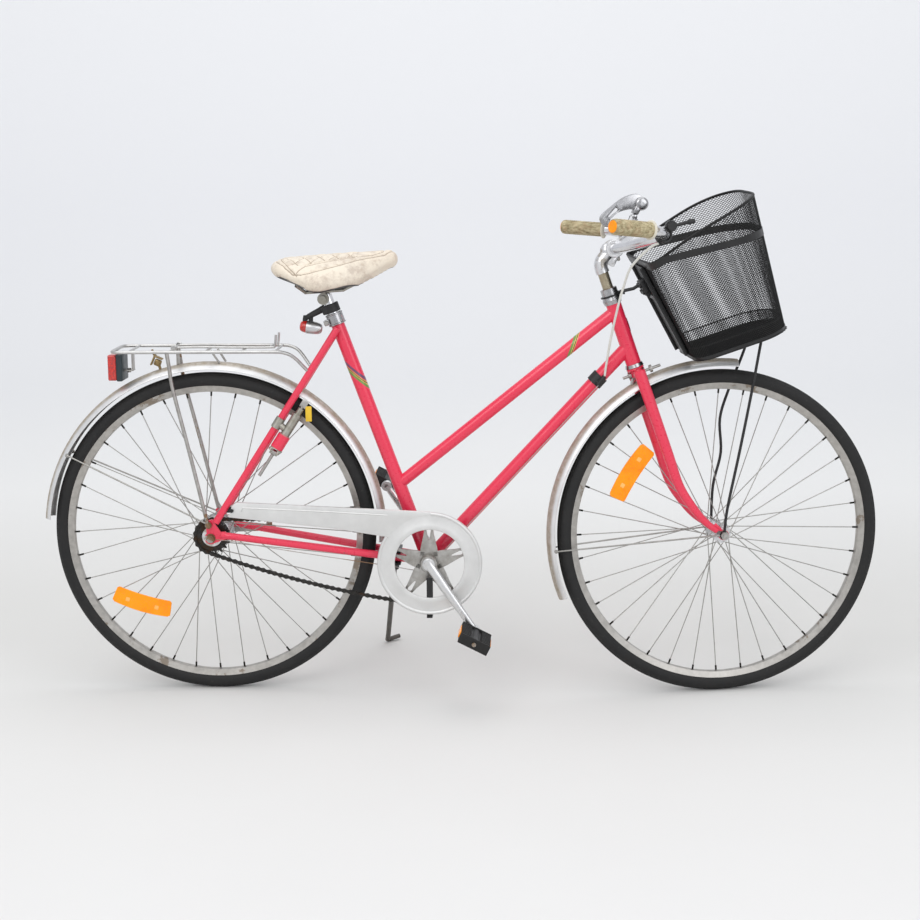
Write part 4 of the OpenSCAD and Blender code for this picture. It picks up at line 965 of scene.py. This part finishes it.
# ---------------- chainring, cranks and pedals
BB, CRANK_A = np.array([457.0, 0, 287.0]), rad(55)
tip_r = BB + 170 * np.array([cos(CRANK_A), 0, -sin(CRANK_A)])
tip_l = 2 * BB - tip_r
RING_R = 12.7 / 2 / sin(pi / 46)
teeth = [(BB[0] + r * cos(a), BB[2] + r * sin(a)) for i in range(46)
         for r, a in ((RING_R - 4, (i - 0.28) * 2 * pi / 46), (RING_R + 1.6, (i - 0.1) * 2 * pi / 46),
                      (RING_R + 1.6, (i + 0.1) * 2 * pi / 46), (RING_R - 4, (i + 0.28) * 2 * pi / 46))]
chainring = plate(teeth, -47.1, -44.9, (ring((BB[0], BB[2]), 78, 60),), 0.3)


def spoke_arm(i):
    a = rad(90 + 72 * i)
    R2 = Matrix.Rotation(-a, 4, "Y")
    out = [(14, -20), (34, -17), (60, -11), (80, -8)] + ring((82, 0), 8, 8, -80, 80) + [(80, 8), (60, 11),
            (34, 17), (14, 20)]
    return moved(plate(out, -50.5, -46, ([(50, -1.4), (70, -4.6), (74, -3), (74, 3), (70, 4.6), (50, 1.4)],
                                         ), 0.9), Matrix.Translation(BB) @ R2)


def arm_tip(i):
    a = rad(90 + 72 * i)
    c = BB + [82 * cos(a), 0, 82 * sin(a)]
    return cat(rod(c + [0, -53.4, 0], c + [0, -50, 0], 6.2, n=22, edge=1), rod(c + [0, -46, 0],
            c + [0, -43, 0], 5, n=18))


piece("chainring", chainring, "cranks", M_CHAIN, MF, ("right_crank", "left_crank"))
piece("spider", cat(*[spoke_arm(i) for i in range(5)], lathe([(8, -64), (17, -64), (19, -60), (19, -50),
        (17, -46), (8, -46)], 36, BB)), "cranks", M_SPIDER, MF)
piece("spider_bolts", cat(*[arm_tip(i) for i in range(5)]), "cranks", M_BLACK, MF)


RIGHT_REACH = ((-9, 65), (4, 65.4), (30, 69), (60, 75), (80, 76.5), (110, 78.5), (145, 80.5), (168, 81.5))
LEFT_REACH = ((-9, 77), (4, 77.6), (40, 79.5), (90, 81.5), (145, 82), (168, 82))


def crank(tip, side):
    """Tapered arm with its boss and pedal eye; side is -1 on the right and 1 on the left."""
    d = (tip - BB) / 170
    reach = RIGHT_REACH if side < 0 else LEFT_REACH
    p = [BB + d * s + np.array([0, side * y, 0]) for s, y in reach]
    p = bend(p, 5)
    s = np.linspace(0, 1, len(p))
    arm = tube(p, 12.0 - 4.6 * s ** 0.7, 24, up=(0, 1, 0), flat=0.7)
    y = reach[0][1] + 6
    boss = lathe([(3, side * (y - 18)), (12.6, side * (y - 18)), (13.4, side * (y - 17)),
                  (13.4, side * (y - 2)), (11, side * y),
                  (3, side * y)], 36, BB)
    eye = lathe([(4.5, side * 75), (10.2, side * 75), (11, side * 76), (11, side * 89), (10.2, side * 90),
                 (4.5, side * 90)], 32, tip)
    return cat(arm, boss, eye)


axle = cat(rod(BB + [0, -70.4, 0], BB + [0, 76, 0], 7.9), *[rod(t + [0, s * 88, 0], t + [0, s * 186, 0],
        4.4, n=18) for t, s in ((tip_r, -1), (tip_l, 1))])
piece("crank_arms", cat(crank(tip_r, -1), crank(tip_l, 1)), "cranks", M_CRANK, MF)
piece("crank_axles", axle, "cranks", M_STEEL, MF)


def pedal(tip, y0, name, node, body):
    M = MF @ Matrix.Translation((tip[0], y0, tip[2])) @ Matrix.Rotation(rad(27), 4, "Y")
    treads = [block((66, 5, 22), (0, y, 0), edge=1.6, seg=3) for y in (2.6, 89.2)]
    for x in (-22, 22):
        treads.append(block((21, 84, 17), (x, 46, 0), edge=2))
        treads += [block((21.6, 5.8, 19.6), (x, y, 0), edge=1.2) for y in np.linspace(9, 83, 9)]
    core = cat(rod((0, 0.5, 0), (0, 91.5, 0), 9, n=24, edge=1), block((26, 84, 12), (0, 46, 0), edge=2))
    cage = cat(rod((0, 0.2, 0), (0, 3, 0), 10, n=24, edge=1), rod((0, 89, 0), (0, 91.9, 0), 10, n=24,
            edge=1))
    glass = cat(*[block((2.4, 50, 13), (s * 33.7, 46, 0), edge=0.8) for s in (-1, 1)])
    piece(name + "_treads", cat(*treads), body, M_PEDAL, M, node)
    piece(name + "_body", cat(core, cage), body, M_PLASTIC, M)
    piece(name + "_reflectors", glass, body, M_AMBER_GLOW, M)


pedal(tip_r, -183, "right_pedal", "right_pedal", "pedal_right")
pedal(tip_l, 91, "left_pedal", "left_pedal", "pedal_left")

# ---------------- chain
def chain_run():
    """Points of the pitch line as in the CAD: sprocket, sagging lower run, ring and upper run."""
    rs, gap = 12.7 / 2 / sin(pi / 18), np.linalg.norm(BB - HUBR)
    slope, fan = math.atan2(BB[2] - 343, BB[0]), math.acos((RING_R - 12.7 / 2 / sin(pi / 18)) / gap)
    top, low = slope + pi - fan, slope - pi + fan
    c1, c2 = np.array([0, 343.0]), np.array([BB[0], BB[2]])
    rim_at = lambda c, r, a: c + r * np.array([cos(a), sin(a)])
    p = [rim_at(c1, rs, a) for a in np.linspace(top, low + 2 * pi, 30)]
    a, b = rim_at(c1, rs, low), rim_at(c2, RING_R, low)
    p += [(1 - f) * a + f * b - [0, 48 * f * (1 - f)] for f in np.linspace(0, 1, 40)[1:-1]]
    p += [rim_at(c2, RING_R, q) for q in np.linspace(low, top, 60)]
    p += [p[0]]
    return np.array(p)


def chain_links():
    p = chain_run()
    s = np.r_[0, np.cumsum(np.linalg.norm(np.diff(p, axis=0), axis=1))]
    n = int(round(s[-1] / 25.4)) * 2
    q = np.linspace(0, s[-1], n, endpoint=False)
    pins = np.c_[np.interp(q, s, p[:, 0]), np.interp(q, s, p[:, 1])]
    half = [(6.35 + 4.2 * cos(a), 4.2 * sin(a)) for a in np.radians(np.linspace(-110, 110, 9))] + [(0, 2.3)]
    out = half + [(-x, -z) for x, z in half]
    flat = [plate(out, y, y + 1.1, (), 0.2) for y in (-50.2, -48.9, -44.2, -42.9)]
    shapes = []
    for i in range(n):
        a, b = pins[i], pins[(i + 1) % n]
        d, m = b - a, (a + b) / 2
        M = Matrix.Translation((m[0], 0, m[1])) @ Matrix.Rotation(-math.atan2(d[1], d[0]), 4, "Y")
        shapes += [moved(f, M) for f in ((flat[0], flat[3]) if i % 2 else (flat[1], flat[2]))]
        shapes.append(rod((a[0], -50.6, a[1]), (a[0], -41.8, a[1]), 1.9, n=10))
        shapes.append(rod((a[0], -48, a[1]), (a[0], -44.4, a[1]), 3.9, n=12))
    return cat(*shapes)


piece("chain_links", chain_links(), "frame", M_CHAIN, MF, "chain")

# ---------------- carrier
RZ, RY = 735, 61
half = [[207, -32, 693], [198, -39, 704.5], [188, -47, 717], [176, -54.5, 727.5], [160, -59.5, 733.5],
        [140, -RY, RZ], [60, -RY, RZ], [-60, -RY, RZ], [-165, -RY, RZ],
        [-186, -59, RZ], [-195, -48, RZ], [-196, -20, RZ], [-196, 0, RZ]]
loop = bend(half + [[x, -y, z] for x, y, z in half[-2::-1]], 6)
bars = [rod((x, -RY, RZ), (x, RY, RZ), 2.6, n=14) for x in (-160, -75, 0, 75, 145)]
ears = both(lathe([(2.55, -35), (5, -35), (5, -30), (2.55, -30)], 20, (-70, 0, RZ + 5.3)))
piece("carrier_rails", cat(tube(loop, 3.6, 16), *bars, ears), "frame", M_RACK, MF, "rack")
spring = [tube(bend([[-70, s * 24, RZ + 5.3], [-20, s * 24, RZ + 6.2], [60, s * 24, RZ + 5.3],
                     [132, s * 24, RZ + 5.3], [140, s * 24, RZ + 8],
                     [142, s * 24, RZ + 20], [143, s * 24, RZ + 31]], 5), 2.5, 12) for s in (-1, 1)]
coil = [tube([[-70 + 5 * cos(a), s * (24 + 1.6 * a / pi), RZ + 5.3 + 4.6 * sin(a)] for a in np.linspace(0,
        5 * pi, 50)], 1.5, 8) for s in (-1, 1)]
piece("luggage_clip", cat(*spring, *coil, rod((-70, -35.5, RZ + 5.3), (-70, 35.5, RZ + 5.3), 2.5, n=14),
                          rod((130, -24, RZ + 5.3), (130, 24, RZ + 5.3), 2.2, n=14)),
      "clip", M_RACK, MF, "rack_clip")
stay = [tube(bend([[-79, s * 61.5, 732], [-75, s * 62, 705], [-68, s * 63, 655], [-40, s * 66, 534],
                   [-5, s * 70.5, 376]], 6), 4, 14) for s in (-1, 1)]
feet = both(cat(lathe([(2.5, -73), (6.6, -73), (7.2, -72), (7.2, -69), (6.6, -68.1), (2.5, -68.1)], 24,
                      (-3, 0, 372)), rod((-3, -76, 372), (-3, -72.6, 372), 5.2, n=6, edge=0.5)))
straps = [block((5, 12, 34), (-68, 0, 719), edge=0.8),
          *[rod((x, y, RZ - 2), (x + 17, y * 0.8, 706.5), 2.2, n=12) for x, y in ((4, -14), (14, 14))]]
piece("carrier_stays", cat(*stay, feet, *straps), "frame", M_STEEL, MF, "rack_stays")
tab = Matrix.Translation((-113, 0, 709)) @ Matrix.Rotation(rad(24), 4, "Y")
piece("carrier_tab", cat(moved(cat(block((20, 15, 3), (0, 0, 9), edge=1), block((3, 15, 24), (-8, 0, 0),
        edge=1), block((15, 11, 14), (3, 0, -2), edge=3),
                                   rod((4, -9, -3), (4, 9, -3), 4.5, n=18, edge=1)), tab),
                         rod((-118, 0, 722), (-122, 0, 734), 2.4, n=12), rod((-108, 0, 700), (-106, 0, 692),
                                 3, n=12)),
      "frame", M_BRASSY, MF)

# ---------------- tail reflector and wheel reflectors
piece("reflector_lens", block((18, 58, 54), (-202.0, 0, 698.5), edge=3, seg=3), "frame", M_RED, MF,
      "tail_reflector")
piece("reflector_body", block((13, 60, 57), (-187, 0, 698.5), edge=3, seg=3), "frame", M_TEAL, MF)
piece("reflector_bracket", cat(block((26, 22, 2.4), (-174, 0, 691), edge=0.6), block((2.4, 22, 44),
        (-163, 0, 712), edge=0.6),
                               rod((-172, 0, 686), (-172, 0, 695), 4.5, n=6, edge=0.5)), "frame", M_STEEL,
                               MF)


def wheel_reflector(name, hub, c, a, high, out, body, M, node):
    """Curved amber strip with two clips; out says on which side of it the rim lies."""
    T = M @ Matrix.Translation(Vector(hub) + Vector(c)) @ Matrix.Rotation(rad(-a), 4, "Y")
    bow, half = 330.0, high / 2
    spread = np.radians([-10.9, *np.linspace(-10.1, 10.1, 15), 10.9])
    trim = [3.5] + 15 * [0] + [3.5]
    edges = [[(bow * sin(q) * (1 + side * 0.03), out * (side * (half - t) + flat * (cos(q) - 1) + 2))
              for q, t in zip(spread, trim)] for side, flat in ((1, bow), (-1, 0.6 * bow))]
    face = plate(edges[0] + edges[1][::-1], -16.9, -11.5, (), 1.6)
    clips = [block((9, 8, 9), (x, -14.2, 3 * out - 0.9 * out), edge=1.5) for x in (-32, 32)]
    feet = [block((8, 7, 10), (x, -8.5, 0), edge=1) for x in (-32, 32)]
    piece(name, cat(face, *feet), body, M_AMBER_GLOW, T, node)
    piece(name + "_clips", cat(*clips), body, M_CLIP, T)


wheel_reflector("front_spoke_reflector", HUBF, (-188, 0, 130), 57, 38, 1, "front_wheel", MS,
                "front_wheel_reflector")
wheel_reflector("rear_spoke_reflector", HUBR, (-161, 0, -152), -16.7, 37, -1, "rear_wheel", MF,
                "rear_wheel_reflector")

# ---------------- lock on the seat stay
STAY = np.array([260, 41.9, 403])
STAY /= np.linalg.norm(STAY)
LOCK = np.array([150, -47, 545.0])
key_at = LOCK + 90 * STAY
piece("lock_block", rod(LOCK - 17.4 * STAY, LOCK + 17.4 * STAY, 13.6, n=32, edge=2), "frame", M_PAINT, MF)
blade_of_key = cat(rod(LOCK + 70 * STAY, LOCK + 86 * STAY, 3, n=16), moved(block((14, 2.4, 16), (0, 0, 3),
        edge=0.9),
                   Matrix.Translation(key_at) @ Matrix.Rotation(rad(33), 4, "Y")))
piece("key_blade", blade_of_key, "key", M_STEEL, MF)
piece("key_fob", block((13, 3, 32), key_at + [10.5, 0, -18], edge=1.2), "key", M_YELLOW, MF, "lock_key")

# ---------------- gear cable, in row millimetres
MM = Matrix.Scale(0.001, 4)


def row(p, M):
    return np.array((M @ Vector(p)) * 1000)


start = np.array([893.5, -198, 949.6])
route = [row(start, MS), row(start + [-16, 11, -9], MS), row((849, -152, 904), MS), row((857, -105, 868),
        MF),
         row((847, -85, 826), MF), row((835, -50, 759), MF), row((827, -22, 700), MF),
         row((824.3, -18, 677), MF)]
piece("gear_cable_casing", tube(bend(route, 8), 2.5, 12, up=(1, 0, 0)), None, M_CABLE, MM, "gear_cable",
      blended=("frame", "steering", tuple(route[4] / 1000), tuple(route[2] / 1000)))

# ---------------- painted stripes and head badge
def stripes(name, a, b, r, bands, slant, M=MF):
    """Thin slanting bands of colour around the tube from a to b; each band is (start, end, material)."""
    a, b = np.array(a, float), np.array(b, float)
    d = (b - a) / np.linalg.norm(b - a)
    side = np.cross(d, (0, 1, 0))
    for i, (s0, s1, mat) in enumerate(bands):
        n = 40
        V = []
        for k in range(n):
            q = 2 * pi * k / n
            out = cos(q) * side + sin(q) * np.array([0, 1.0, 0])
            lean = slant * cos(q)
            V += [a + d * (s0 + lean) + r * out, a + d * (s1 + lean) + r * out, a + d * (s1 + lean)
                  + (r + 0.12) * out, a + d * (s0 + lean) + (r + 0.12) * out]
        piece(f"{name}_{i + 1}", (np.array(V), grid_faces(n, 4, True, True)), "frame", mat, M)


def flat_colour(name, c):
    m = Mat(name, Coat_Weight=0.5, Coat_Roughness=0.1)
    m.colour(m.mix(m.range(m.noise(90, 4), 0.35, 0.7), c, tuple(0.8 * v for v in c)))
    m.rough(m.range(m.noise(60), 0.3, 0.7, 0.25, 0.4))
    return m.m


S_GREEN, S_YELLOW, S_BLACK, S_PURPLE = (flat_colour("stripe_" + n, c) for n, c in (
    ("green", (0.16, 0.30, 0.06)), ("yellow", (0.80, 0.55, 0.10)), ("black", (0.02, 0.015, 0.02)),
    ("purple", (0.16, 0.07, 0.16))))
BANDS = [(0, 8, S_GREEN), (8, 10.5, S_YELLOW), (10.5, 13.5, S_BLACK), (13.5, 15.5, S_YELLOW),
         (18, 27, S_PURPLE)]
stripes("seat_tube_stripe", on_seat(668), on_seat(710), 14.34, BANDS, 24)
stripes("top_tube_stripe", (753, 0, 734.8), (800, 0, 772.4), 12.74, BANDS[:4], 20)
badge_c = on_head(478)
fr = np.array([sin(HEAD), 0, cos(HEAD)])
badge = lathe([(0.3, 0), (8.6, 0), (9, 0.5), (8.2, 1.1), (0.3, 1.5)], 28, (0, 0, 0), (0, 0, 1),
              closed=False)
BM = Matrix([[HD[0], 0, fr[0], badge_c[0] + 15.6 * fr[0]], [0, 1, 0, 0], [HD[2], 0, fr[2], badge_c[2]
        + 15.6 * fr[2]], [0, 0, 0, 1]])
piece("head_badge", moved((badge[0] * [1.7, 1, 1], badge[1]), BM), "frame", M_POLISH, MF)

# ---------------- floor, backdrop and light
def backdrop():
    ys = np.concatenate([np.linspace(-9, 3.2, 12), 3.2 + 2.2 * np.sin(np.linspace(0, pi / 2, 16))[1:],
                         [5.4, 5.4]])
    zs = np.concatenate([np.zeros(12), 2.2 - 2.2 * np.cos(np.linspace(0, pi / 2, 16))[1:], [4.5, 9.0]])
    xs = np.linspace(-12, 12, 9)
    V = np.array([[x, y, z] for y, z in zip(ys, zs) for x in xs])
    me = bpy.data.meshes.new("studio_floor")
    me.from_pydata(V.tolist(), [], grid_faces(len(ys), len(xs), False, False))
    me.shade_smooth()
    o = bpy.data.objects.new("studio_floor", me)
    scene.collection.objects.link(o)
    m = Mat("studio_floor", Specular_IOR_Level=0.2)
    deep = m.range(m.along((0, 0, 0), (0, 1, 1)), -1, 7)
    ramp = m.node("ShaderNodeValToRGB", {"Fac": deep})
    # The colour dips to 0.665 just behind the bike: a painted shadow on the floor. Towards and up the wall it
    # gets lighter, painted light making up for the weaker light the wall gets.
    stops = ((-1.0, 0.725, 0.72, 0.71), (-0.4, 0.72, 0.715, 0.70), (0.25, 0.665, 0.66, 0.64),
             (0.65, 0.685, 0.68, 0.66),
             (1.6, 0.79, 0.79, 0.78), (3.2, 0.83, 0.835, 0.84), (5.3, 0.865, 0.87, 0.885),
             (6.9, 0.945, 0.95, 0.96))
    while len(ramp.color_ramp.elements) < len(stops):
        ramp.color_ramp.elements.new(0.5)
    for e, (t, *c) in zip(ramp.color_ramp.elements, stops):
        e.position = (t + 1) / 8
        e.color = (*c, 1)
    n = m.noise(2.2, 4, 0.6)
    m.colour(m.mix(m.range(n, 0.3, 0.7, 0, 0.05), ramp.outputs["Color"], (0.9, 0.9, 0.9)))
    m.rough(m.range(n, 0.3, 0.7, 0.7, 0.85))
    me.materials.append(m.m)


backdrop()
world = bpy.data.worlds.new("studio")
scene.world = world
world.use_nodes = True
world.node_tree.nodes["Background"].inputs[0].default_value = (0.95, 0.965, 1.0, 1)
world.node_tree.nodes["Background"].inputs[1].default_value = 0.81


def soft_light(name, at, to, size, power, colour=(1, 1, 1)):
    d = bpy.data.lights.new(name, "AREA")
    d.shape, d.size, d.size_y, d.energy, d.color = "RECTANGLE", size[0], size[1], power, colour
    o = bpy.data.objects.new(name, d)
    o.location = at
    o.rotation_euler = (Vector(to) - Vector(at)).to_track_quat("-Z", "Y").to_euler()
    scene.collection.objects.link(o)


soft_light("key", (-1.6, -3.6, 3.6), (0, 0, 0.4), (3.2, 2.4), 60, (1, 0.99, 0.97))
soft_light("fill", (2.6, -3.4, 2.6), (0.1, 0, 0.5), (2.4, 2.4), 34, (0.97, 0.98, 1))
soft_light("top", (0, 0.2, 4.2), (0, 0, 0), (4.5, 3.5), 52)
